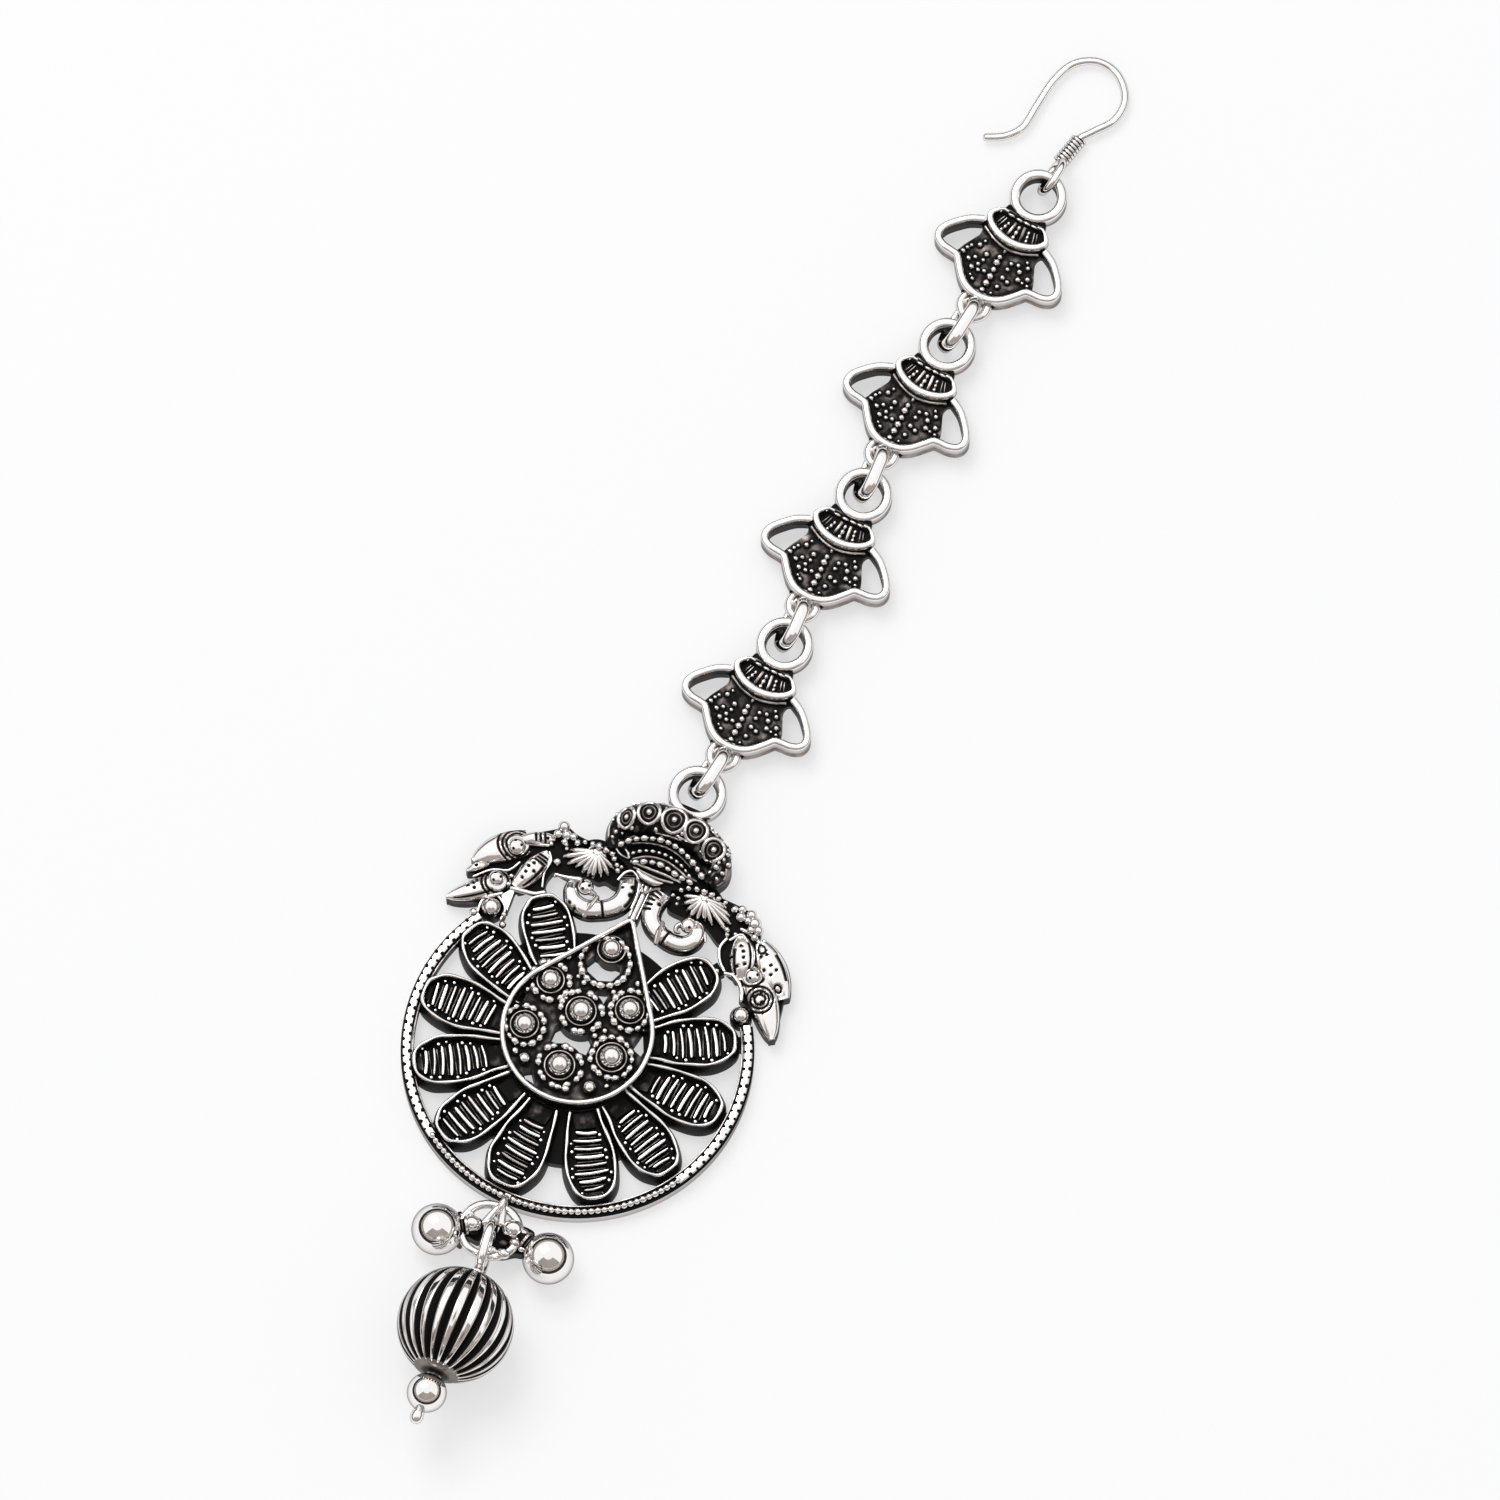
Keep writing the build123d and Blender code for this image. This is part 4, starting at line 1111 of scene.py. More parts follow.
@dataclass
class Drop(Work):
    """The ribbed bead, the ball below it and the pin with its upright loop."""

    middle: Triple = (1.2, -32.5, 5.85)
    heading_deg: float = 2.8
    rise_deg: float = 5.0
    bead_r: float = 5.85
    ribs: int = 22
    steps_per_rib: int = 14
    bead_rows: int = 46
    groove_depth: float = 0.5
    collar_r: float = 2.35
    cap_r: float = 0.75
    ball_at: float = 7.85
    ball_r: float = 2.0
    tip_at: float = 10.3
    pin_r: float = 0.4
    loop_centre: Triple = (0.42, -23.25, 3.45)
    loop_heading_deg: float = 188.5
    loop_bend_r: float = 1.85
    loop_straight: float = 1.6
    loop_tilt_deg: float = 2.0

    # Profile of the pin's tip, as radius and distance along the axis
    TIP = [(0.42, -0.75), (0.5, -0.5), (0.62, -0.1), (0.68, 0.3), (0.62, 0.65), (0.42, 0.95), (0.1, 1.08)]

    def axis(self) -> Vector:
        """The way down the drop, from its loop to its tip.

        Returns:
            The way, of length one.
        """
        heading, rise = math.radians(self.heading_deg), math.radians(self.rise_deg)
        flat = math.cos(rise)
        return Vector((math.sin(heading) * flat, -math.cos(heading) * flat, math.sin(rise)))

    def along(self, distance: float) -> Vector:
        """A place on the axis, measured from the bead's middle."""
        return Vector(self.middle) + self.axis() * distance

    def build(self) -> None:
        """Draws the bead, the ball and the pin."""
        self.build_bead()
        ball = Draft()
        ball.turned([(0.5, -2.02), (0.75, -1.98), (0.62, -1.86), *self.arc_profile(self.ball_r, 0.62, 0.5),
                     (0.5, 1.98)], self.along(self.ball_at), self.axis(), 64)
        ball.finish("tip_ball", self.finishes.polished, Slot.DROP, "drop_ball", crease_deg=70)
        self.build_pin()

    @staticmethod
    def arc_profile(radius: float, first_r: float, last_r: float, rows: int = 40) -> list[Point]:
        """The profile of a ball between two smaller radii at its poles."""
        turn = np.linspace(-math.acos(first_r / radius), math.acos(last_r / radius), rows)
        return [(radius * math.cos(a), radius * math.sin(a)) for a in turn]

    def build_bead(self) -> None:
        """Draws the bead with its deep grooves and the dark collar at its foot."""
        low, high = -math.acos(self.cap_r / self.bead_r), math.acos(self.collar_r / self.bead_r)
        turn = np.linspace(low, high, self.bead_rows)
        angles = whole_turn(self.ribs * self.steps_per_rib)
        crest = np.abs(np.sin(angles * self.ribs / 2))
        wander = 0.035 * np.sin(angles * 5 + 1.0)
        fade = np.clip((np.cos(turn) - 0.2) * 2.2, 0, 1)[:, None]
        reach = np.interp(turn, [-1.4, -0.3, 0.3, 1.2], [0.6, 0.74, 0.84, 0.97])[:, None]
        groove = np.clip(1.0 - (crest + wander)[None, :] / reach, 0, 1) ** 0.7
        radial = self.bead_r - self.groove_depth * groove * fade
        out = radial * np.cos(turn)[:, None]
        height = radial * np.sin(turn)[:, None]
        table = np.stack([out * np.cos(angles), out * np.sin(angles), height], -1)
        black = np.clip(groove * 2.6, 0, 1) * np.clip(fade + 0.25, 0, 1)
        rib_number = np.floor(angles * self.ribs / (2 * math.pi))[None, :]
        broken = np.clip(np.sin(turn[:, None] * 9 + rib_number * 2.4) - 0.1, 0, 1)
        slit = np.clip((crest - 0.965) / 0.02, 0, 1)[None, :] * broken
        black = np.maximum(black, 0.62 * slit * np.clip(turn[:, None] * 3 + 0.6, 0, 1))
        spin = np.array(Vector((0, 0, 1)).rotation_difference(self.axis()).to_matrix())
        draft = Draft()
        draft.skin(table @ spin.T + np.array(self.middle), black)
        foot = self.bead_r * math.sin(turn[-1])
        draft.turned([(self.collar_r - 0.1, foot - 0.5), (self.collar_r + 0.12, foot - 0.2),
                      (self.collar_r - 0.15, foot + 0.12), (1.3, foot + 0.3), (0.6, foot + 0.34)],
                     self.middle, self.axis(), 48, 0.45)
        draft.turned([(0.95, -self.bead_r + 0.02), (0.95, -self.bead_r - 0.12), (0.6, -self.bead_r - 0.25)],
                     self.middle, self.axis(), 32, 0.0)
        draft.finish("ribbed_bead", self.finishes.polished, Slot.DROP, "melon_bead", crease_deg=60)

    def build_pin(self) -> None:
        """Draws the pin's loop, stem and drop-shaped tip."""
        draft = Draft()
        heading = math.radians(self.loop_heading_deg)
        run = Vector((-math.sin(heading), math.cos(heading), 0))
        loop = upright_oval(self.loop_centre, run, self.loop_tilt_deg, self.loop_bend_r, self.loop_straight)
        draft.sweep(loop, round_section(1.0, 20) * (0.5, 0.4), True, False)
        stem_top = self.along(-self.bead_r - self.pin_r)
        join = loop[int(np.argmin(np.linalg.norm(loop - np.array(stem_top), axis=1)))]
        draft.wire(np.linspace(join, np.array(stem_top), 6), self.pin_r, sides=16)
        stem = np.linspace(np.array(stem_top), np.array(self.along(self.tip_at)), 8)
        draft.wire(stem, self.pin_r, sides=16)
        draft.turned(self.TIP, self.along(self.tip_at), self.axis(), 28)
        draft.finish("head_pin", self.finishes.drawn, Slot.WIRE, "drop_pin")


# ---- medallion
@dataclass
class Rim(Work):
    """The round band of the medallion: punched at both edges, beaded below, with its lug."""

    middle_r: float = 17.05
    width: float = 0.82
    height: float = 1.9
    bead_r: float = 0.34
    bead_pitch: float = 0.66
    dot_r: float = 0.2
    dot_pitch: float = 0.9
    left_end_deg: float = 149.0
    left_beads_deg: float = 236.0
    right_beads_deg: float = 330.0
    right_end_deg: float = 392.0
    lug_at: Triple = (0.0, -18.4, 2.6)
    lug_r: float = 0.95
    lug_wire_r: float = 0.32

    LUG_PLATE = [(-0.3, -17.7), (0.3, -17.7), (0.3, -16.9), (-0.3, -16.9)]

    def arc(self, first_deg: float, last_deg: float, radius: float) -> np.ndarray:
        """Points at a radius between two angles."""
        angles = np.radians(np.linspace(first_deg, last_deg, 91))
        return np.column_stack([radius * np.cos(angles), radius * np.sin(angles)])

    def build(self) -> None:
        """Draws the band, its beads and its punched dots."""
        draft = self.draft
        whole = self.arc(self.left_end_deg, self.right_end_deg, self.middle_r + 0.1)
        draft.rail(whole, self.width + 0.2, 0, self.height - 0.5, left=1.0, right=0.0, top=1.0, corner=0.1)
        inner = self.arc(self.left_end_deg, self.right_end_deg, self.middle_r - 0.6)
        draft.rail(inner, 0.2, 0, self.height - 0.35, left=1.0, right=1.0, top=0.3, corner=0.08)
        plain = ((self.left_end_deg, self.left_beads_deg), (self.right_beads_deg, self.right_end_deg))
        for first, last in plain:
            band = self.arc(first, last, self.middle_r)
            draft.rail(band, self.width, 0.2, self.height, left=1.0, right=0.7, corner=0.14, lip=0.12,
                       foot=(1.0, 0.0))
            for n, edge in enumerate((-0.3, 0.32)):
                dots = spaced(self.arc(first + n * 1.5, last, self.middle_r + edge), self.dot_pitch)
                for k, (x, y) in enumerate(dots[1:-1]):
                    size = self.dot_r * (0.95 + 0.25 * math.sin(k * 2.7 + n))
                    draft.ball((x, y, self.height - 0.02), size, (1, 1, 0.5), oxide=1.0)
        spots = spaced(self.arc(self.left_beads_deg, self.right_beads_deg, self.middle_r), self.bead_pitch)
        for n, (x, y) in enumerate(spots):
            size = self.bead_r * (1 + 0.08 * math.sin(n * 3.7))
            draft.ball((x, y, self.height - 0.18), size, (1.0, 1.12, 1.0), math.atan2(y, x),
                       skirt=0.2, sides=12)
        x, y, z = self.lug_at
        angles = whole_turn(32)
        eye = np.column_stack([np.full(len(angles), x), y + self.lug_r * np.cos(angles),
                               z + self.lug_r * np.sin(angles)])
        draft.wire(eye, self.lug_wire_r, True)
        draft.plate(self.LUG_PLATE, 0.9, 2.4, 0.3)
        draft.finish("rim_band", self.finishes.relief, Slot.MEDALLION, "medallion")


@dataclass
class Petals(Work):
    """Eleven petals round the flower: black floor, bright wavy edge and a ladder of ribs."""

    centre: Point = (-0.35, 0.0)
    pairs: int = 5
    first_deg: float = 31.6
    step_deg: float = 28.1
    hub_r: float = 12.2
    hub_top: float = 1.15
    floor_top: float = 1.25
    edge_width: float = 0.32
    edge_top: float = 2.45
    rib_width: float = 0.34
    rib_top: float = 2.0
    rib_first: float = 9.05
    rib_pitch: float = 0.84
    ribs: int = 8
    lean_deg: float = -2.6      # how far the lowest petal leans to the left
    slim: float = 0.93          # the width of the other petals as a share of its width

    # Half of a petal's edge, as distance from the middle of the flower and distance sideways
    EDGE = [
        (6.9, 1.5), (8.4, 1.85), (10, 2.28), (11.6, 2.56), (13.2, 2.6), (14.5, 2.3), (15.45, 1.7), (16, 0.85)]
    # Half the section of the edge's black foot, as distance sideways and height
    FOOT = [(0.44, 0), (0.4, 1.1), (0.14, 2.05)]
    # The tab that joins a petal to the rim
    TAB = [(15.7, -0.7), (16.9, -0.7), (16.9, 0.7), (15.7, 0.7)]
    # Dull pads at the root and the tip: where they start and end, half their width, their oxide
    PADS = [(6.9, 8.55, 1.2, 0.6), (15.3, 15.75, 0.8, 0.56)]

    def half_width(self, distance: float) -> float:
        """Half the width inside the edge at a distance from the middle."""
        along, sideways = zip(*self.EDGE)
        return float(np.interp(distance, along, sideways))

    def build(self) -> None:
        """Draws the hub and every petal."""
        draft = self.draft
        holes = (*Setting.HOLES, Setting.TOP_HOLE)
        draft.plate(ring_line(*self.centre, self.hub_r, 96), 0, self.hub_top, 1.0, holes=holes)
        turns = [-90.0 + self.lean_deg, *[-90.0 + side * (self.first_deg + self.step_deg * n)
                                          for n in range(self.pairs) for side in (1, -1)]]
        for n, turn in enumerate(turns):
            self.draw_petal(math.radians(turn), n)
        draft.finish("petals", self.finishes.relief, Slot.MEDALLION, "medallion")

    def draw_petal(self, turn: float, number: int) -> None:
        """Draws one petal, each a little different from its neighbours.

        Args:
            turn: The way that it points, in radians.
            number: Its number, which gives it its own shape.
        """
        draft = self.draft
        slim = self.slim if number else 1.0
        half = [(u, v * slim + 0.05 * math.sin(number * 2.3 + k * 2.1))
                for k, (u, v) in enumerate(self.EDGE)]
        other = [(u, -v * slim + 0.05 * math.sin(number * 1.7 + k * 2.7))
                 for k, (u, v) in enumerate(self.EDGE)]
        edge = placed(curved([*half, *reversed(other)], pieces=6), *self.centre, turn)
        draft.plate(edge, 0, self.floor_top, 1.0)
        foot = np.array([(-x, z) for x, z in self.FOOT] + list(reversed(self.FOOT)))
        draft.sweep(at_height(edge, 0.0), foot, False, True, 1.0)
        wander = 1 + 0.22 * np.sin(np.arange(len(edge)) * 0.55 + number * 1.9)
        section = bar(self.edge_width, -1.9, 0.0, 0.16, 0.5)
        share = np.where(section[:, 1] < -0.12, 1.0, 0.0)
        share[0] = 0.3
        draft.sweep(at_height(edge, self.edge_top), section, False, True, share, wander)
        tab = placed(np.array(self.TAB), *self.centre, turn)
        draft.plate(tab, 0, self.floor_top, 1.0)
        for k in range(self.ribs):
            self.draw_rib(turn, number, k)
        for first, last, spread, tone in self.PADS:
            pad = [(first, -spread), (last, -spread * 0.8), (last, spread * 0.8), (first, spread)]
            draft.plate(placed(np.array(pad), *self.centre, turn), 0.9, 1.65, tone, 1.0)

    def draw_rib(self, turn: float, number: int, k: int) -> None:
        """Draws one bright rib, the dim one beside it and its end granules.

        Args:
            turn: The way that its petal points, in radians.
            number: The petal's number.
            k: The rib's number, from the root.
        """
        draft = self.draft
        u = self.rib_first + k * self.rib_pitch
        reach = self.half_width(u) * self.slim - 0.72 - 0.12 * (1 + math.sin(number * 2.9 + k * 1.7))
        slant = 0.14 * math.sin(number * 1.3 + k * 0.4)
        bow = 0.1 * math.sin(number * 0.9 + 1.0)
        line = curved([(u - slant, -reach), (u + bow, 0.0), (u + slant, reach)], pieces=6)
        line = placed(line, *self.centre, turn)
        swell = np.interp(np.linspace(0, 1, len(line)), [0, 0.12, 0.88, 1], [0.55, 1.0, 1.0, 0.6])
        section = bar(self.rib_width * (0.92 + 0.18 * math.sin(number + k * 2.3)), -0.9, 0.0, 0.13)
        share = np.where(section[:, 1] < -0.1, 1.0, 0.0 if (number + k) % 5 else 0.3)
        draft.sweep(at_height(line, self.rib_top), section, False, True, share, swell)
        middle = u + self.rib_pitch / 2
        dim = placed(np.array([(middle, -reach * 0.9), (middle + bow, reach * 0.9)]), *self.centre, turn)
        draft.rail(dim, 0.14, 0.9, self.rib_top - 0.35, left=1.0, right=1.0, top=0.42, corner=0.05)
        for side in (1, -1):
            if (k + number + side) % 3:
                end = np.array([(u + side * slant + 0.3, side * (reach + 0.28))])
                spot = placed(end, *self.centre, turn)[0]
                size = 0.14 + 0.07 * abs(math.sin(k * 2.1 + number))
                draft.ball((*spot, self.rib_top - 0.1), size, skirt=0.4, sides=8)


@dataclass
class Setting(Work):
    """The teardrop: smooth frame, pierced dark floor, domes in collars and rings of granules."""

    centre: Point = (-0.55, 1.2)
    radius: float = 7.75
    apex: Point = (-0.35, 13.7)
    apex_r: float = 0.5
    frame_width: float = 0.5
    frame_top: float = 3.7
    floor_top: float = 2.5
    rosette_top: float = 2.75
    granule_r: float = 0.4
    collar_gap: float = 0.3

    # Rosettes: x, y, radius of the dome, radius of the granule ring, number of granules
    ROSETTES = [
        (-5.2, 5.1, 1.05, 1.95, 14), (-5.7, -0.2, 1.1, 2, 14), (-1.1, 3.35, 1.2, 2.1, 14),
        (3.3, 5.45, 1.12, 2, 14), (3.65, 0.15, 1.2, 2.1, 15), (-0.75, -2.7, 1.2, 2.15, 15)]
    TOP_RING = (-1, 9.1, 2.5, 19)
    TOP_DOME = (-0.95, 10.5, 1.08)
    SMALL_DOMES = [
        (-4.3, -3.4, 0.62), (-5.5, -3.05, 0.42), (2.9, -3.55, 0.7), (-4.65, 8.2, 0.42), (2.9, 8.4, 0.38),
        (1.15, 1.65, 0.32), (0.75, -4.65, 0.47), (-2.1, 6.3, 0.32), (-2.9, 6.7, 0.26), (1, 6.6, 0.3),
        (-3.1, 4.1, 0.3), (1.85, 2.55, 0.3), (-7, 3.4, 0.3), (6.1, -1.6, 0.3), (4.4, -2.7, 0.3)]
    HOLES = [
        [(-2.9, -0.6), (1.15, -0.5), (1.15, 1), (0.4, 1.7), (-2.4, 1.7), (-2.9, 1.1)],
        [(-0.95, 5.2), (0.55, 5.1), (0.65, 6), (0.3, 6.75), (-0.4, 6.7)],
        [(4.9, 2.6), (5.3, 1.9), (6.2, 1.6), (6.35, 2.6), (6, 4.2), (5.2, 4.3)],
        [(-7.6, 1.7), (-6.9, 1.9), (-6.9, 2.9), (-7.3, 3)],
        [(-4.1, -4.4), (-3.3, -3.9), (-2.5, -4.9), (-2.2, -5.4), (-3.4, -5.2)]]
    TOP_HOLE = [
        (-2.75, 8.6), (-2.3, 9.5), (-1.7, 9.45), (-0.95, 9.3), (-0.2, 9.45), (0.5, 9.5), (0.75, 8.6),
        (0.35, 7.6), (-0.95, 7.1), (-2.3, 7.6)]

    def outline(self, inset: float) -> np.ndarray:
        """The teardrop's outline, drawn in by a distance.

        Args:
            inset: How far inside its edge the line runs.

        Returns:
            The closed line.
        """
        low, top = Vector(self.centre), Vector(self.apex)
        apart = top - low
        lean = math.acos((self.radius - self.apex_r) / apart.length)
        upright = math.atan2(apart.y, apart.x)
        big = np.linspace(upright + lean, upright + 2 * math.pi - lean, 80)
        small = np.linspace(upright - lean, upright + lean, 8)
        big_r, small_r = self.radius - inset, max(self.apex_r - inset, 0.02)
        right = [(top.x + small_r * math.cos(a), top.y + small_r * math.sin(a)) for a in small]
        return np.array([(low.x + big_r * math.cos(a), low.y + big_r * math.sin(a)) for a in big] + right)

    def build(self) -> None:
        """Draws the setting."""
        draft = self.draft
        holes = (*self.HOLES, self.TOP_HOLE)
        draft.plate(self.outline(0.3), 0, self.floor_top, 0.54, 1.0, holes)
        edge = spaced(self.outline(self.frame_width / 2), 0.45, True)
        draft.rail(edge, self.frame_width, 0.1, self.frame_top, closed=True, left=1.0, right=1.0, lip=0.22,
                   foot=(1.0, 0.12))
        for x, y, dome_r, ring_r, count in self.ROSETTES:
            self.draw_rosette(x, y, dome_r, ring_r, count)
        self.draw_top_ring()
        for x, y, radius in self.SMALL_DOMES:
            draft.plate(ring_line(x, y, radius + 0.16, 16), 0.4, self.floor_top + 0.05, 1.0)
            draft.ball((x, y, self.floor_top + radius * 0.5), radius, skirt=0.2, sides=16)
        draft.finish("teardrop_setting", self.finishes.relief, Slot.MEDALLION, "medallion")

    def draw_rosette(self, x: float, y: float, dome_r: float, ring_r: float,
                     count: int) -> None:
        """Draws one dome in its collar, with a ring of granules round it.

        Args:
            x: Its place across the ornament.
            y: Its place along the ornament.
            dome_r: The radius of the dome.
            ring_r: The radius of the ring.
            count: The number of granules.
        """
        draft = self.draft
        draft.plate(ring_line(x, y, ring_r + 0.3, 40), 0.4, self.rosette_top - 0.1, 0.9)
        for n in range(count):
            angle = 2 * math.pi * (n + 0.2 * math.sin(n * 3.1 + x)) / count + x
            out = ring_r + 0.09 * math.sin(n * 5.3 + y)
            size = self.granule_r * (1 + 0.14 * math.sin(n * 2.9 + x + y))
            self.draw_granule((x, y), angle, out, size)
        self.draw_dome(x, y, dome_r)

    def draw_dome(self, x: float, y: float, radius: float) -> None:
        """Draws a polished dome in a thin collar.

        Args:
            x: Its place across the ornament.
            y: Its place along the ornament.
            radius: Its radius.
        """
        draft = self.draft
        ground = ring_line(x, y, radius + self.collar_gap + 0.1, 36)
        draft.plate(ground, 0.4, self.rosette_top + 0.08, 1.0)
        collar = ring_line(x, y, radius + self.collar_gap, 40)
        draft.rail(collar, 0.15, 0.5, self.rosette_top + 0.42, closed=True, left=1.0, right=0.9, top=0.35)
        draft.turned(dome_profile(radius, 0.7), (x, y, self.rosette_top + 0.45), None, 36)

    def draw_top_ring(self) -> None:
        """Draws the open ring of granules at the top and the dome inside it."""
        draft = self.draft
        x, y, radius, count = self.TOP_RING
        ring = ring_line(x, y, radius, 56)
        draft.rail(ring, 0.66, 0.3, self.rosette_top, closed=True, left=1.0, right=1.0, top=0.95, corner=0.1)
        for n in range(count):
            angle = 2 * math.pi * (n + 0.12 * math.sin(n * 4.1)) / count
            size = self.granule_r * (1.06 + 0.12 * math.sin(n * 2.2))
            self.draw_granule((x, y), angle, radius, size)
        self.draw_dome(*self.TOP_DOME)

    def draw_granule(self, middle: Point, angle: float, out: float, size: float) -> None:
        """Draws one granule of a ring.

        Args:
            middle: The middle of the ring.
            angle: Where it stands on the ring, in radians.
            out: Its distance from the middle.
            size: Its radius.
        """
        draft = self.draft
        x, y = middle
        spot = (x + out * math.cos(angle), y + out * math.sin(angle), self.rosette_top + 0.14)
        draft.ball(spot, size, (1.12, 0.95, 0.95), angle + math.pi / 2, skirt=0.15, sides=12)


@dataclass
class Turban(Work):
    """The rolled cap over the teardrop, its ringed eyes, stepped bead arcs and the suspension ring."""

    low: float = 0.0
    base: float = 2.0
    rise: float = 3.0
    ring_at: Point = (0.1, 29.2)
    ring_r: float = 2.42
    ring_width: float = 1.05
    ring_low: float = 1.1
    ring_top: float = 2.5

    MIDDLE = [
        (-4.9, 20.4), (-5.6, 21.7), (-5.15, 23.2), (-3.2, 24.55), (-0.3, 24.95), (2.6, 24.65), (4.65, 23.7),
        (5.55, 22.3), (5.05, 20.7)]
    WIDTHS = [1.3, 2.2, 3.1, 3.6, 3.8, 3.7, 3.2, 2.3, 1.3]
    # Ringed eyes: x, y, half width, half height
    EYES = [
        (-5.05, 23.35, 0.75, 1.05), (-3.15, 24.65, 1.08, 1.12), (-0.5, 24.9, 1.22, 1.22),
        (1.93, 24.75, 1.12, 1.14), (4.3, 23.75, 1.05, 1.12)]
    # Arcs of beads: the spots they run through, their height, bead radius, pitch, stretch and oxide
    ARCS = [
        ([(-4.5, 20.8), (-3.75, 21.6), (-2.4, 22.4), (-0.6, 22.85), (1.1, 22.65), (2.8, 21.95), (4.2, 21)],
         3.9, 0.34, 0.84, 1.15, 0),
        ([(-3.1, 20.65), (-2.2, 21.3), (-0.8, 21.7), (0.6, 21.7), (1.9, 21.35), (3, 20.7)], 3.15, 0.2, 0.66,
         1.3, 0.15),
        ([(-2.5, 19.8), (-1.5, 20.3), (-0.3, 20.55), (0.8, 20.45), (2, 20.2), (3.3, 20.1)], 3.3, 0.3, 0.8,
         1.35, 0)]
    # Thin ridges below the cap: their spots, height, radius and oxide
    FOLDS = [
        ([(-3, 19.75), (-1, 19.75), (0.9, 19.8), (2.5, 19.7)], 3, 0.13, 0.1),
        ([(-2.9, 20), (-1.6, 20.85), (0.2, 21.15), (1.8, 20.8), (2.8, 20.4)], 3.1, 0.1, 0.3),
        ([(-3.8, 21.3), (-2.4, 22), (-0.6, 22.4), (1.1, 22.2), (2.8, 21.5)], 3.4, 0.1, 0.4),
        ([(-4.9, 20.6), (-4.3, 20.9), (-3.6, 20.5), (-3.4, 20.05), (-4.2, 20.1), (-4.9, 20.5)], 2.7, 0.14, 0),
        ([(-2.5, 19.35), (-1, 19.2), (0.4, 19.2), (1.8, 19.4)], 2.85, 0.12, 0.2),
        ([(2.2, 19.9), (2.9, 20.5), (3.9, 20.5)], 3, 0.13, 0.2)]
    EDGE_BEADS = [
        (-4.2, 22.75, 0.32), (-5.4, 22.3, 0.22), (-5.45, 21.65, 0.24), (-5.55, 21.05, 0.2),
        (-6.1, 23.4, 0.24), (-4.75, 22.4, 0.18), (-6.2, 22.7, 0.2), (-4.9, 21.9, 0.18), (4.1, 22.7, 0.24),
        (5.2, 22.3, 0.34), (4.8, 21.75, 0.27), (6, 22, 0.25), (6.15, 23.1, 0.3), (5.65, 24, 0.28),
        (5.6, 23.3, 0.2), (5.3, 22.8, 0.2), (5.7, 21.3, 0.22), (5.5, 24.6, 0.22), (0.75, 24, 0.24),
        (-0.3, 23.75, 0.16), (-1.9, 23.5, 0.3), (-2.3, 26.3, 0.17), (-1.6, 26.45, 0.17), (0.45, 26.45, 0.17),
        (1, 26.3, 0.14), (1.7, 26.25, 0.17), (-3.9, 26, 0.2), (-5.3, 25.2, 0.2), (3.1, 23.2, 0.16)]
    # Small ridges between the eyes and along the cap's two ends
    RIDGES = [
        [(0.3, 23.7), (1.4, 23.6), (2.8, 23.8)], [(-1.8, 23.3), (-0.1, 23.45), (0.9, 23.5)], [(2.85, 26),
        (3.85, 25.6), (4.85, 25.1)], [(3.15, 25.6), (4.15, 25.15)], [(5.1, 25.3), (5.75, 24.6), (6.05, 23.9)],
        [(-5.95, 24.6), (-6.15, 23.9)], [(-5.2, 25.5), (-4.5, 25.8), (-3.9, 26.1)], [(-6.2, 22.9), (-6.3, 22),
        (-5.95, 21)], [(-4.9, 20.9), (-4.6, 21.7), (-3.7, 22.6)], [(4.3, 21.4), (4.9, 22.6), (4.9, 23.2)],
        [(-2.6, 26.15), (-0.4, 26.5), (2.2, 26.25)], [(6.2, 22.6), (6.3, 21.7), (5.9, 20.9)], [(-1.75, 25.9),
        (-1.85, 24.9), (-2.05, 24.1)], [(0.8, 25.6), (0.75, 24.7)], [(3.15, 25.1), (3.2, 24.2)]]
    # Outline of the black ground below the cap
    NECK_GROUND = [
        (-5, 20.2), (-4.2, 21.8), (-2.4, 23.2), (0, 23.8), (2.6, 23), (4.4, 21.7), (5.2, 20.4), (3.2, 19.4),
        (1.4, 18.6), (-0.4, 18.3), (-2.2, 18.7), (-3.6, 19.5)]
    STEM = [(-0.5, 18.3), (-0.52, 16.5), (-0.5, 14.5)]
    CRESCENT = [(-2.1, 19.2), (-1.3, 18.85), (-0.4, 18.7), (0.3, 18.75), (0.9, 19)]

    def build(self) -> None:
        """Draws the cap, the arcs below it and the ring above it."""
        draft = self.draft
        self.draw_neck()
        middle = curved(self.MIDDLE, pieces=9)
        places = np.linspace(0, 1, len(self.WIDTHS))
        ground = draft.relief(
            middle, lambda s: float(np.interp(s, places, self.WIDTHS)),
            lambda s: self.rise * (0.62 + 0.38 * math.sin(math.pi * s)), self.base, self.low, 21,
            lambda s, p: (0.0, 0.62 + 0.2 * math.sin(s * 61) * math.sin(p * 7 + s * 23)), 2.3)
        self.draw_eyes(ground)
        self.draw_surface_lines(ground)
        beads = resting(ground, [(x, y) for x, y, _ in self.EDGE_BEADS], 0.02)
        for spot, (x, y, size) in zip(beads, self.EDGE_BEADS):
            draft.ball(spot, size, (1.1, 0.9, 1.0), x * y, skirt=0.15, sides=10)
        self.draw_ring()
        draft.finish("turban_cap", self.finishes.relief, Slot.MEDALLION, "medallion")

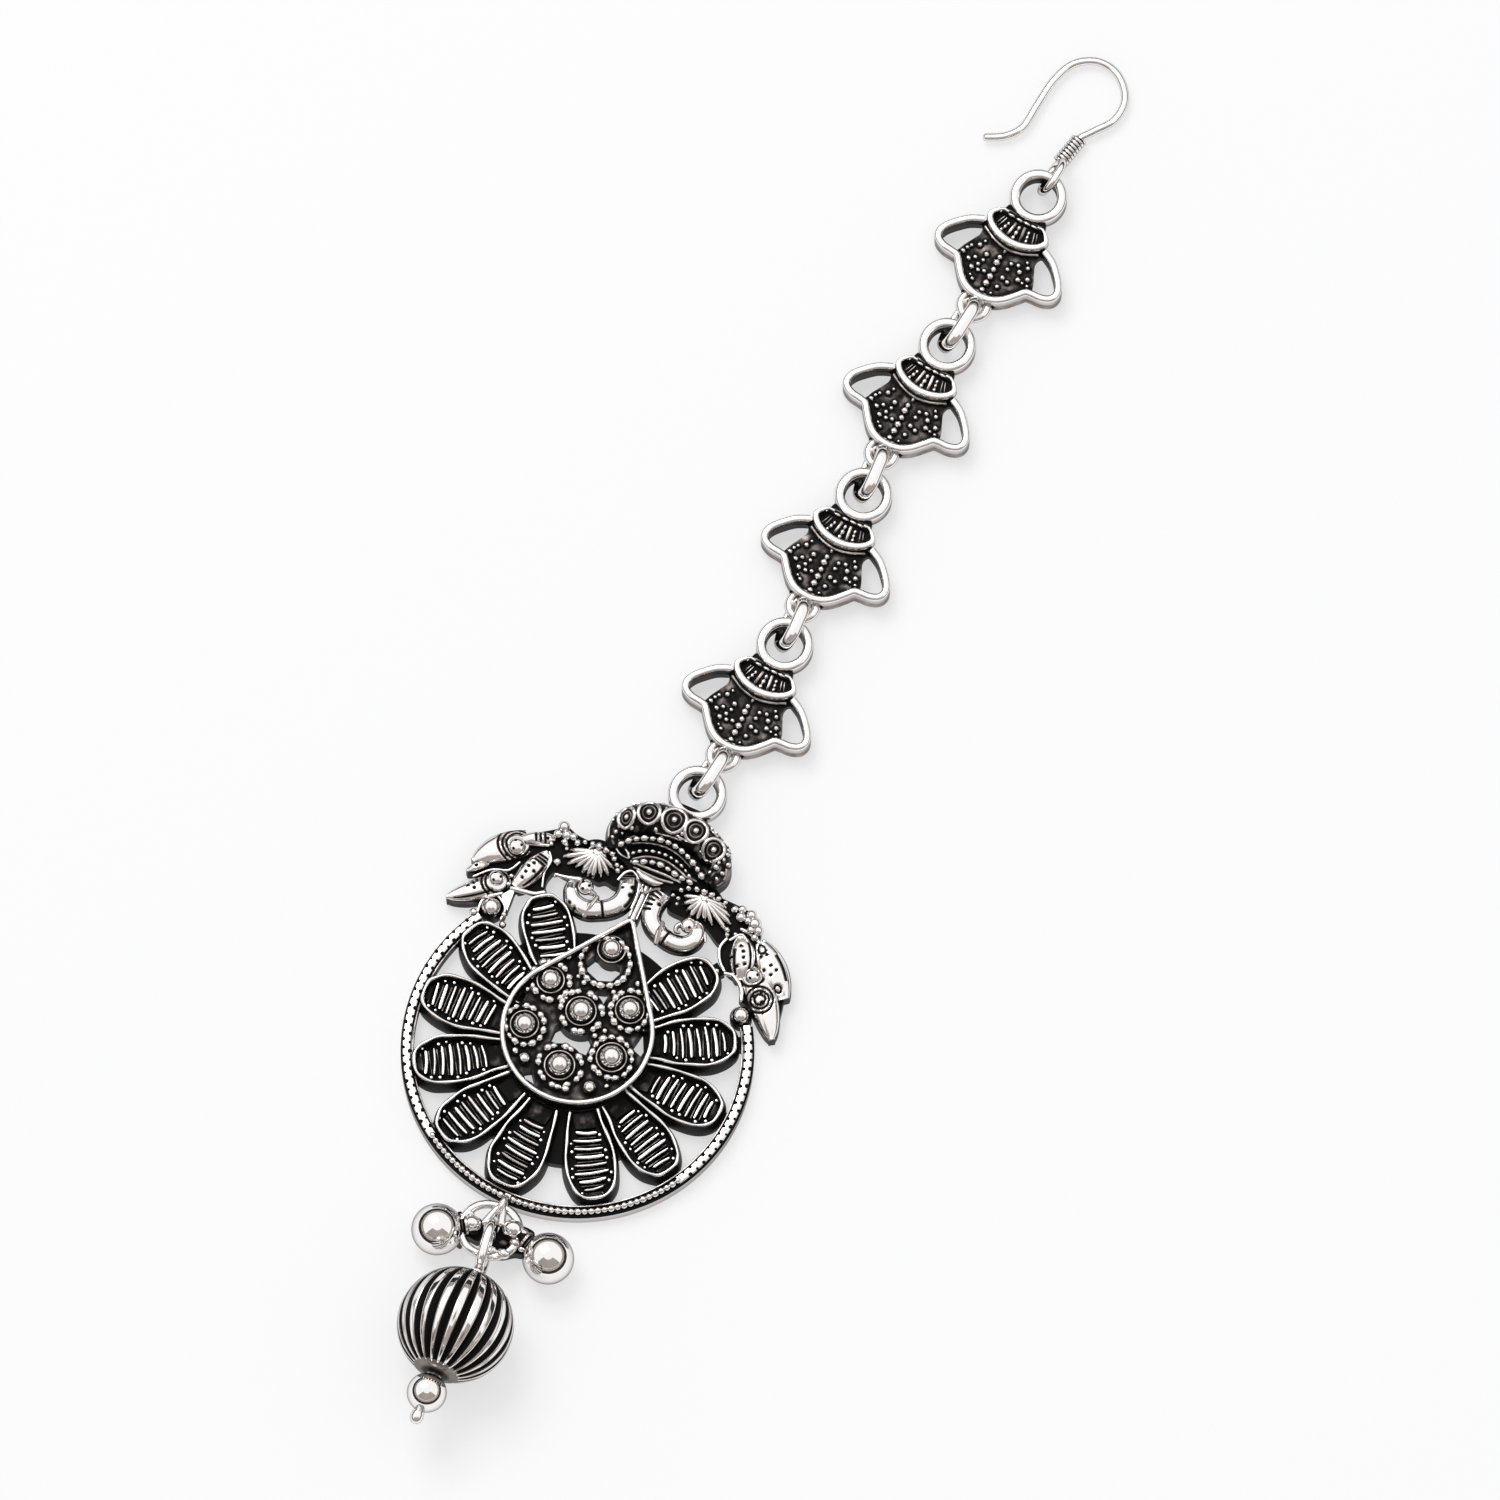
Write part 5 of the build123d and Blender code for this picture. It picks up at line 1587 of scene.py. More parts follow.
    def draw_eyes(self, ground: np.ndarray) -> None:
        """Draws the wire rings on the cap, each with an inner ring and a granule.

        Args:
            ground: Points of the cap's top.
        """
        draft = self.draft
        for x, y, half_width, half_height in self.EYES:
            outer = ring_line(x, y, half_height, 36, half_width / half_height)
            draft.wire(resting(ground, outer, 0.16), 0.19, True, sides=10)
            inner = ring_line(x, y, half_height * 0.6, 30, half_width / half_height)
            draft.wire(resting(ground, inner, 0.05), 0.09, True, oxide=0.45, sides=8)
            spot = resting(ground, [(x, y)], 0.08)[0]
            draft.ball(spot, 0.32, (half_width / half_height, 1, 0.8), sides=14)

    def draw_surface_lines(self, ground: np.ndarray) -> None:
        """Draws the small ridges between the eyes and along the cap's two ends.

        Args:
            ground: Points of the cap's top.
        """
        draft = self.draft
        for n, ridge in enumerate(self.RIDGES):
            line = resting(ground, curved(ridge), 0.04)
            draft.wire(line, 0.12, oxide=0.25 if n % 2 else 0.05, sides=8)

    def draw_neck(self) -> None:
        """Draws the stepped arcs between the cap and the teardrop."""
        draft = self.draft
        draft.plate(curved(self.NECK_GROUND, True, 5), 0.3, 2.45, 0.95)
        for spots, height, bead_r, pitch, stretch, oxide in self.ARCS:
            line = curved(spots)
            draft.rail(line, bead_r * 2.1, 0.6, height - 0.28, left=1.0, right=1.0, top=0.9)
            beads = spaced(line, pitch)
            headings = np.gradient(beads, axis=0)
            for n, ((x, y), (run_x, run_y)) in enumerate(zip(beads, headings)):
                size = bead_r * (1 + 0.14 * math.sin(n * 2.7))
                way = math.atan2(run_y, run_x)
                draft.ball((x, y, height - 0.1), size, (stretch, 0.95, 0.9), way, oxide, 12, 0.15)
        for spots, height, radius, oxide in self.FOLDS:
            draft.wire(at_height(curved(spots, pieces=7), height), radius, oxide=oxide, sides=8)
        crescent = curved(self.CRESCENT, pieces=7)
        fat = np.sin(np.linspace(0.15, math.pi - 0.1, len(crescent)))
        draft.wire(at_height(crescent, 2.8), 0.38, scale=fat, sides=12)
        draft.rail(np.array(self.STEM), 1.0, 0, 2.2, left=0.9, right=0.9, top=0.25)
        for x in (-0.95, -0.08):
            draft.rail(np.array([(x, 18.2), (x, 16.5), (x * 0.9, 14.6)]), 0.18, 0, 2.4, left=0.9, right=0.9)
        for side in (1, -1):
            cup = [(-0.5 + side * 0.15, 17.4), (-0.5 + side * 0.6, 18.0), (-0.5 + side * 1.3, 18.5)]
            draft.wire(at_height(curved(cup, pieces=5), 2.45), 0.14, oxide=0.3, sides=8)

    def draw_ring(self) -> None:
        """Draws the smooth suspension ring and the small ridges at its root."""
        draft = self.draft
        line = ring_line(*self.ring_at, self.ring_r, 72)
        draft.rail(line, self.ring_width, self.ring_low, self.ring_top, closed=True, left=1.0,
                   right=0.1, corner=0.42)
        draft.plate(np.array([(-1.8, 25.8), (2.0, 25.8), (2.2, 27.6), (-2.0, 27.6)]), 0.9, 2.2, 0.9)
        for x in (-1.9, -1.1, 1.3, 2.1):
            draft.ball((x, 27.35, 2.15), 0.3, (1.2, 0.8, 0.8), skirt=0.7)


@dataclass(frozen=True)
class Marks:
    """Dark punched dots, cross grooves, long lines and arcs on a raised form.

    Places are a share along the form and a place across it from -1 to 1. Lengths are millimetres.
    """

    dots: Sequence[Triple] = ()
    grooves: Sequence[Triple] = ()
    lines: Sequence[Triple] = ()
    arcs: Sequence[Triple] = ()
    thickness: float = 0.13
    softness: float = 0.12

    def detail(self, length: float, width: float) -> Callable[[float, float], tuple[float, float]]:
        """The lift and the oxide of these marks on a form of a length and a width.

        Args:
            length: The form's length.
            width: The form's width.

        Returns:
            A function of a share along and a place across.
        """

        def at(share: float, place: float) -> tuple[float, float]:
            """Reads the marks at one place.

            Args:
                share: The share along.
                place: The place across.

            Returns:
                The lift and the share of oxide.
            """
            x, y = share * length, place * width / 2
            black = 0.0
            for s, p, radius in self.dots:
                apart = math.hypot(x - s * length, y - p * width / 2)
                black = max(black, (radius - apart) / self.softness + 0.5)
            for s, first, last in self.grooves:
                if first <= place <= last:
                    black = max(black, (self.thickness - abs(x - s * length)) / self.softness + 0.3)
            for p, first, last in self.lines:
                if first <= share <= last:
                    black = max(black, (self.thickness - abs(y - p * width / 2)) / self.softness + 0.3)
            for s, p, radius in self.arcs:
                apart = math.hypot(x - s * length, y - p * width / 2)
                black = max(black, (self.thickness - abs(apart - radius)) / self.softness + 0.3)
            black = max(black, (abs(place) - 1 + 0.34 / width) * width * 3.2)
            black = min(max(black, 0.0), 1.0)
            return -0.16 * black, black

        return at


@dataclass
class Leaf:
    """A plump cast leaf with its marks and punched spots."""

    start: Point
    end: Point
    width: float
    marks: Marks = Marks()
    spots: Sequence[Point] = ()
    bend: float = 0.0
    rise: float = 1.0
    base: float = 1.7
    blunt: Point = (0.12, 0.12)
    spot_r: float = 0.17

    def draw(self, draft: Draft) -> None:
        """Draws the leaf.

        Args:
            draft: The mesh being drawn.
        """
        start, end = np.array(self.start), np.array(self.end)
        run = end - start
        length = float(np.linalg.norm(run))
        side = np.array([run[1], -run[0]]) / length
        dots = list(self.marks.dots)
        for spot in self.spots:
            share = float((spot - start) @ run) / length ** 2
            apart = float((spot - start) @ side) - self.bend * math.sin(math.pi * share)
            dots.append((share, apart * 2 / self.width, self.spot_r))
        marks = replace(self.marks, dots=dots)
        shares = np.linspace(0, 1, max(24, int(length / 0.09)))
        line = start + run * shares[:, None] + side * (self.bend * np.sin(math.pi * shares))[:, None]
        draft.relief(line, self.width_at, self.rise_at, self.base, 0.0, 27, marks.detail(length, self.width))

    def width_at(self, share: float) -> float:
        """The leaf's width at a share of its length.

        Args:
            share: The share of its length.

        Returns:
            The width.
        """
        first, last = self.blunt
        open_share = first / 2 + share * (1 - first / 2 - last / 2)
        return self.width * max(math.sin(math.pi * open_share), 0.05) ** 0.5

    def rise_at(self, share: float) -> float:
        """How far the leaf stands up at a share of its length."""
        return self.rise * (0.35 + 0.65 * math.sin(math.pi * min(max(share, 0.03), 0.97)))


@dataclass
class Foliage(Work):
    """The two sprays of leaves, berries and balls at the shoulders of the medallion."""

    berry_height: float = 2.45
    plate_top: float = 1.6
    knob_height: float = 2.45
    end_ball_height: float = 1.75

    LEAVES = [
        Leaf((-14.4, 17.5), (-11, 19.2), 1.5, Marks(grooves=[(0.5, -0.9, 0.5), (0.62, -0.9, 0.6),
            (0.74, -0.9, 0.9)]), [(-11.6, 18.75)]),
        Leaf((-17.55, 13.7), (-13.3, 17.7), 3.15, Marks(arcs=[(0.83, 0.1, 1.2), (0.83, 0.1, 1.6),
            (0.83, 0.1, 2.05)]), [(-13.4, 15.9), (-13.9, 15.55), (-14.6, 15.5)], -0.3, 1.1, blunt=(0, 0.55)),
        Leaf((-12.65, 12.9), (-11.1, 17.4), 2.45, Marks(grooves=[(0.73, -0.5, 0.7), (0.81, -0.5, 0.7),
            (0.89, -0.6, 0.6)], lines=[(0.62, 0.12, 0.7)]), [(-12.15, 15.3), (-12.2, 14.6), (-11.45, 14.95),
            (-11.8, 15.8), (-12.3, 13.95)], 0.15, 1.1),
        Leaf((-18.45, 9.2), (-13.6, 13.6), 2.45, Marks(arcs=[(0.8, 0, 1.15), (0.8, 0, 1.55)],
            lines=[(0.55, 0.1, 0.7)]), [(-16.9, 11.8), (-17, 11.05), (-16.2, 11), (-16.55, 11.5),
            (-16.3, 11.9)], 0.3, blunt=(0, 0.5)),
        Leaf((-17.7, 12.5), (-16, 14.1), 1, Marks(), [(-17, 13.3)], 0, 0.8),
        Leaf((10.2, 17.3), (12, 13.1), 2.75, Marks(lines=[(-0.6, 0.08, 0.9), (0.62, 0.3, 0.9)]),
            [(10.2, 14.8), (11.1, 15.8), (11.4, 15.2), (11.75, 14.65), (11.1, 14.1), (10.6, 16.3)], -0.15,
            1.1),
        Leaf((12.2, 17.5), (16.7, 13), 3, Marks(arcs=[(0.12, 0.2, 0.5), (0.83, 0.2, 0.4)],
            lines=[(-0.62, 0.3, 0.75)]), [(12.8, 16), (13.35, 16.5), (14.2, 15.55), (13.75, 14.85),
            (14.6, 14.6), (14.9, 15.3)], -0.15, 1.1),
        Leaf((12.2, 14.7), (17.35, 8.7), 3.15, Marks(arcs=[(0.12, 0.1, 1.25), (0.48, 0.25, 0.55),
            (0.48, 0.25, 0.95), (0.48, 0.25, 1.4)]), [(14.5, 12.5), (14.95, 11.6), (13.9, 11.9),
            (15.4, 10.6)], -0.35, 1.15, blunt=(0.5, 0))]
    KNOBS = [(-14.1, 16.7, 0.92), (-14.6, 12.85, 0.82), (13, 13.85, 0.85)]
    # Berries and small balls: x, y, radius
    BERRIES = [
        (-10.6, 20.5, 0.5), (-10.85, 19.55, 0.38), (-10, 19.8, 0.44), (9.2, 19.8, 0.37), (8.5, 19.5, 0.32),
        (9.4, 19, 0.44), (10.2, 18.95, 0.32), (10.3, 19.6, 0.47), (10.95, 18.9, 0.58), (10.85, 18.2, 0.35),
        (11.6, 18.4, 0.42), (-9.3, 19.9, 0.34), (-8.7, 19.5, 0.28), (-9.9, 19.05, 0.3), (11.5, 17.6, 0.3)]
    SMALL_BALLS = [
        (-11.1, 18.5, 0.25), (-9.5, 18.65, 0.25), (-11.2, 17.5, 0.22), (-13.4, 13.8, 0.25),
        (-13.3, 12.9, 0.28), (-9.8, 17, 0.42), (-9.4, 15.6, 0.22), (-12.4, 9.8, 0.3), (8.8, 16.9, 0.28),
        (9.55, 17.3, 0.22), (-15.3, 8.8, 0.42), (-12.1, 8.75, 0.38), (12.5, 17.75, 0.25), (9.4, 13, 0.3),
        (12.9, 16.9, 0.2)]
    # Outlines of the black ground under the leaves of either side
    GROUNDS = [
        [(-14.3, 18), (-12.9, 19.1), (-11.2, 20.3), (-10.4, 20.9), (-9, 20.5), (-6.2, 20.3), (-5, 19.4),
         (-5.3, 17.9), (-7.4, 17.3), (-9.2, 17.1), (-10, 15.2), (-9.9, 13.9), (-11, 13.3), (-12.4, 12.9),
         (-12.5, 10.9), (-14.6, 10.7), (-17.5, 9.6), (-16.6, 12.2), (-17.2, 13.4), (-16.2, 16), (-15.4, 17.4)],
        [(9.4, 20.2), (10.5, 20), (11.7, 18.9), (12.1, 17.7), (13.7, 17.7), (15.3, 16.3), (16.4, 14.3),
         (17.2, 10.4), (16.6, 9.4), (14.6, 10.8), (12.6, 11.3), (12.7, 13), (10.6, 13.3), (9.2, 14.3),
         (8.8, 15.7), (9.2, 17.3), (8, 17.6), (5.2, 17.8), (4.4, 19), (5.6, 20.2), (7.6, 20.3)]]
    # Thin bright wires: their spots, their radius
    WIRES = [
        ([(-12.8, 12.6), (-11.5, 12.8), (-10.5, 13), (-9.7, 13.5)], 0.26),
        ([(10.3, 13.1), (11.1, 13.2), (12, 12.7), (12.6, 12), (12.9, 11.2)], 0.22),
        ([(8.95, 16.5), (8.7, 15.4), (9.2, 14.2), (10.1, 13.3)], 0.16),
        ([(9.3, 16.5), (10.2, 17.5), (11.4, 16.6), (12.15, 15.2)], 0.14),
        ([(9.9, 18), (11, 17.9), (12.2, 17.4)], 0.2),
        ([(-17.8, 9.7), (-16, 10.1), (-14.6, 10.9), (-13.5, 11.7)], 0.2),
        ([(-13.3, 17.5), (-12.2, 17.9), (-11.3, 18.2)], 0.18),
        ([(-16.8, 12.2), (-15.4, 13.6), (-13.9, 14.2), (-13.2, 15.4)], 0.13),
        ([(-9.2, 15.7), (-8.4, 15.85), (-7.6, 15.75)], 0.2),
        ([(-10.1, 14), (-10.5, 15.4), (-10.4, 16.8), (-10.9, 17.6)], 0.12)]
    BRACE = [(-13.45, 11.55), (-12.5, 12.9), (-12.3, 10.3), (-12.75, 10.6)]
    # The balls in which the rim ends: x, y, radius
    END_BALLS = [(-13.9, 10, 1.02), (13.5, 9.75, 0.95)]
    HEART = [(-14.95, 9), (-15, 10.4), (-13.9, 11.35), (-12.6, 10.5), (-12.5, 9.2)]

    def build(self) -> None:
        """Draws the sprays."""
        draft = self.draft
        for ground in self.GROUNDS:
            draft.plate(curved(ground, True, 4), 0, self.plate_top, 1.0)
        for leaf in self.LEAVES:
            leaf.draw(draft)
        for x, y, radius in self.KNOBS:
            self.draw_knob(x, y, radius)
        for x, y, radius in self.BERRIES:
            draft.ball((x, y, self.berry_height), radius * 1.2, skirt=0.15, sides=18)
        for x, y, radius in self.SMALL_BALLS:
            draft.ball((x, y, 1.95), radius, skirt=0.4, sides=12)
        for spots, radius in self.WIRES:
            draft.wire(at_height(curved(spots, pieces=6), 2.05), radius, sides=12, round_ends=True)
        draft.plate(self.BRACE, 0, 2.1, 0.0, 0.8)
        self.draw_balls()
        draft.finish("leaf_sprays", self.finishes.relief, Slot.MEDALLION, "medallion")

    def draw_knob(self, x: float, y: float, radius: float) -> None:
        """Draws a round bud with three punched dots.

        Args:
            x: Its place across the ornament.
            y: Its place along the ornament.
            radius: Its radius.
        """
        draft = self.draft
        draft.ball((x, y, self.knob_height), radius, (1, 1, 0.7), skirt=0.5, sides=28)
        for angle in (0.4, 2.2, 4.4):
            dot = (x + radius * 0.5 * math.cos(angle), y + radius * 0.5 * math.sin(angle),
                   self.knob_height + radius * 0.57)
            draft.ball(dot, 0.18, (1, 1, 0.45), oxide=1.0)

    def draw_balls(self) -> None:
        """Draws the two balls in which the rim ends."""
        draft = self.draft
        for x, y, radius in self.END_BALLS:
            middle = (x, y, self.end_ball_height)
            cup = [(radius + 0.16, -1.6), (radius + 0.16, -0.35), (radius + 0.02, -0.2)]
            draft.turned(cup, middle, None, 36, 0.5)
            draft.ball(middle, radius, sides=32)
        draft.rail(curved(self.HEART, pieces=7), 0.26, 0, 2.05, left=0.9, right=0.9)


@dataclass
class Bird:
    """A peacock's neck that rises from the turban, bends at a collar and ends in a curled head."""

    middle: Sequence[Point]
    widths: Sequence[float]
    marks: Marks
    collar: tuple[Point, Point]
    head: tuple[float, float, float]
    eyes: Sequence[Point]
    crest: Sequence[Point]
    beak: Sequence[Point]
    ridge: Sequence[Point]
    foot: float = 1.2       # the height of its underside
    base: float = 2.15      # the height at which its sides round in
    rise: float = 0.95

    def draw(self, draft: Draft) -> None:
        """Draws the bird.

        Args:
            draft: The mesh being drawn.
        """
        line = curved(self.middle, pieces=12)
        runs = np.linalg.norm(np.diff(line, axis=0), axis=1)
        length = float(runs.sum())
        places = np.linspace(0, 1, len(self.widths))
        draft.rail(line[2:-2], 1.0, 0, 1.6, left=0.9, right=0.9, top=0.9)
        draft.relief(line, lambda s: float(np.interp(s, places, self.widths)),
                     lambda s: self.rise * min(1.0, 0.35 + 6 * min(s, 1 - s)), self.base, self.foot, 23,
                     self.marks.detail(length, float(np.mean(self.widths))), 2.2)
        (x, y), (end_x, end_y) = self.collar
        band = np.array([(x, y), ((x + end_x) / 2, (y + end_y) / 2), (end_x, end_y)])
        draft.wire(at_height(band, np.array([2.5, 3.05, 2.5])), 0.34, sides=14, round_ends=True)
        x, y, radius = self.head
        draft.ball((x, y, 2.55), radius, (1, 1, 0.75), skirt=0.3, sides=28)
        for x, y in self.eyes:
            draft.ball((x, y, 3.12), 0.17, (1, 1, 0.6), oxide=1.0)
        crest = curved(self.crest)
        fade = np.linspace(1.0, 0.35, len(crest))
        draft.wire(at_height(crest, 2.5), 0.32, scale=fade, sides=12, round_ends=True)
        beak = curved(self.beak)
        draft.wire(at_height(beak, 2.5), 0.36, oxide=0.35, scale=np.linspace(1.0, 0.3, len(beak)), sides=12)
        ridge = curved(self.ridge)
        draft.wire(at_height(ridge, 2.35), 0.17, sides=10)


@dataclass
class Fan:
    """A fan of ribs spread below a beaded knob, on its black ground."""

    centre: Point
    tips: Sequence[Point]
    beads: Sequence[Triple]
    ground: Sequence[Point]
    rib_width: float = 0.54

    def draw(self, draft: Draft) -> None:
        """Draws the fan.

        Args:
            draft: The mesh being drawn.
        """
        x, y = self.centre
        draft.plate(curved(self.ground, True, 4), 0, 1.5, 1.0)
        draft.plate(ring_line(x, y - 0.4, 2.15, 36), 0, 1.6, 1.0)
        draft.ball((x, y, 1.75), 1.2, (1.1, 0.9, 0.8), skirt=0.4, sides=24)
        for n, (tip_x, tip_y) in enumerate(self.tips):
            reach = np.linspace(0.18, 1.0, 12)
            line = np.column_stack([x + (tip_x - x) * reach, y + (tip_y - y) * reach,
                                    2.75 - 0.75 * reach ** 2])
            swell = np.interp(reach, [0, 0.35, 0.85, 1.0], [0.55, 0.8, 1.0, 0.55])
            size = swell * (1 + 0.15 * math.sin(n * 2.7))
            draft.wire(line, self.rib_width / 2, scale=size, sides=10, round_ends=True)
        for bead_x, bead_y, radius in self.beads:
            draft.ball((bead_x, bead_y, 2.75), radius, skirt=0.4, sides=12)


@dataclass
class Figures(Work):
    """The two birds and the two fans between the turban and the sprays."""

    BIRDS = [
        Bird([(-2.6, 18.5), (-2.25, 17.5), (-2.1, 16.5), (-2.3, 15.5), (-3, 14.6), (-4.1, 13.95),
            (-5.3, 13.55), (-6.5, 13.8), (-7.2, 14.5), (-7.45, 15.2), (-7.3, 15.8)],
            [1.8, 2.1, 2.15, 2.1, 2, 1.95, 2.05, 1.95, 1.8, 1.5, 0.9], Marks(dots=[(0.13, -0.5, 0.2),
            (0.2, -0.5, 0.2), (0.15, 0.45, 0.13), (0.72, -0.7, 0.16), (0.78, -0.6, 0.14)],
            grooves=[(0.015, -0.8, 0.8), (0.045, 0.3, 0.9), (0.48, -0.9, 0.9)], lines=[(-0.72, 0, 0.3)]),
            ((-4.6, 14.95), (-5, 12.85)), (-6.05, 15.55, 0.82), [(-6.2, 15.15), (-6.45, 15.85), (-5.7, 15.7)],
            [(-6.9, 16.05), (-8.2, 15.75), (-9.4, 15.6)], [(-5.4, 15.3), (-4.9, 15.2), (-4.6, 14.8)],
            [(-3.45, 17.6), (-3.1, 18.6), (-2.4, 19.05), (-1.5, 18.4), (-1.05, 17), (-1, 15.4)]),
        Bird([(1.3, 18.2), (1.05, 17.3), (0.95, 16.4), (1.15, 15.4), (1.85, 14.6), (3, 14.1), (4.3, 13.9),
            (5.45, 14.2), (6.1, 15.1), (5.9, 16.1), (5, 16.4)],
            [1.8, 2, 2.05, 2, 1.9, 1.85, 1.9, 1.85, 1.8, 1.7, 1.1], Marks(grooves=[(0.03, 0, 0.9),
            (0.075, 0, 0.9), (0.12, 0.1, 0.9), (0.165, 0.1, 0.9), (0.21, 0.1, 0.9), (0.52, -0.9, 0.9)],
            dots=[(0.13, -0.5, 0.19), (0.63, -0.7, 0.15), (0.67, -0.7, 0.15)], lines=[(-0.66, 0.45, 0.66)]),
            ((2.45, 15.15), (2.75, 13.15)), (4.95, 16.05, 0.82), [(5.2, 15.75)], [(5.7, 16.4), (6.6, 16.1),
            (7.2, 15.2)], [(4.5, 16.1), (3.95, 15.5), (4.1, 14.95), (4.55, 15.05)], [(5.5, 16.5),
            (6.55, 15.9), (6.6, 14.7), (5.8, 13.7)])]
    FANS = [
        Fan((-6.4, 19.3), [(-9.4, 17.8), (-8.7, 17.3), (-7.85, 17.3), (-7.05, 17.1), (-6.45, 16.95),
            (-5.9, 17), (-5.2, 17.4), (-4.6, 17.85), (-9, 18.7), (-4.3, 18.6)], [(-6.5, 19.95, 0.4),
            (-5.7, 19.9, 0.36), (-5, 19.8, 0.32), (-4.6, 19.4, 0.3), (-7.2, 19.9, 0.3), (-4.1, 18.9, 0.26),
            (-3.8, 18.4, 0.28), (-3.6, 18.9, 0.2), (-8, 19.8, 0.24), (-9.6, 18.8, 0.2)], [(-10, 18.9),
            (-10.1, 16.9), (-9.4, 16.2), (-7.5, 16.1), (-6.6, 16.9), (-5.3, 16.8), (-4.6, 17.2), (-3.4, 17.1),
            (-2.8, 18.4), (-3.1, 19.6), (-6.3, 20.3)]),
        Fan((5.3, 19.2), [(3.1, 18.85), (3.5, 18.1), (4.1, 17.6), (4.65, 17.15), (5.45, 17.1), (6.15, 17.4),
            (7, 17.25), (8.5, 17.25), (8.6, 18.1), (8.2, 18.8), (7.5, 19.4)], [(5, 19.9, 0.38),
            (4.2, 19.85, 0.34), (5.8, 19.9, 0.34), (3.4, 19.6, 0.3), (2.8, 19.1, 0.28), (6.6, 19.8, 0.28),
            (7.4, 19.7, 0.24), (2.3, 18.3, 0.22), (2.9, 18.2, 0.22), (3, 17.6, 0.18), (8.7, 17.15, 0.3)],
            [(2.2, 19.6), (1.9, 18.3), (2.2, 17.1), (3.6, 16.9), (4.6, 17), (5.7, 17.3), (6.8, 16.7),
            (8.5, 15.8), (9.1, 17), (8.9, 18.8), (7.3, 19.8), (5, 20.3)])]

    def build(self) -> None:
        """Draws the birds and the fans."""
        birds = Draft()
        for bird in self.BIRDS:
            bird.draw(birds)
        birds.finish("birds", self.finishes.relief, Slot.MEDALLION, "medallion")
        fans = Draft()
        for fan in self.FANS:
            fan.draw(fans)
        fans.finish("fans", self.finishes.relief, Slot.MEDALLION, "medallion")


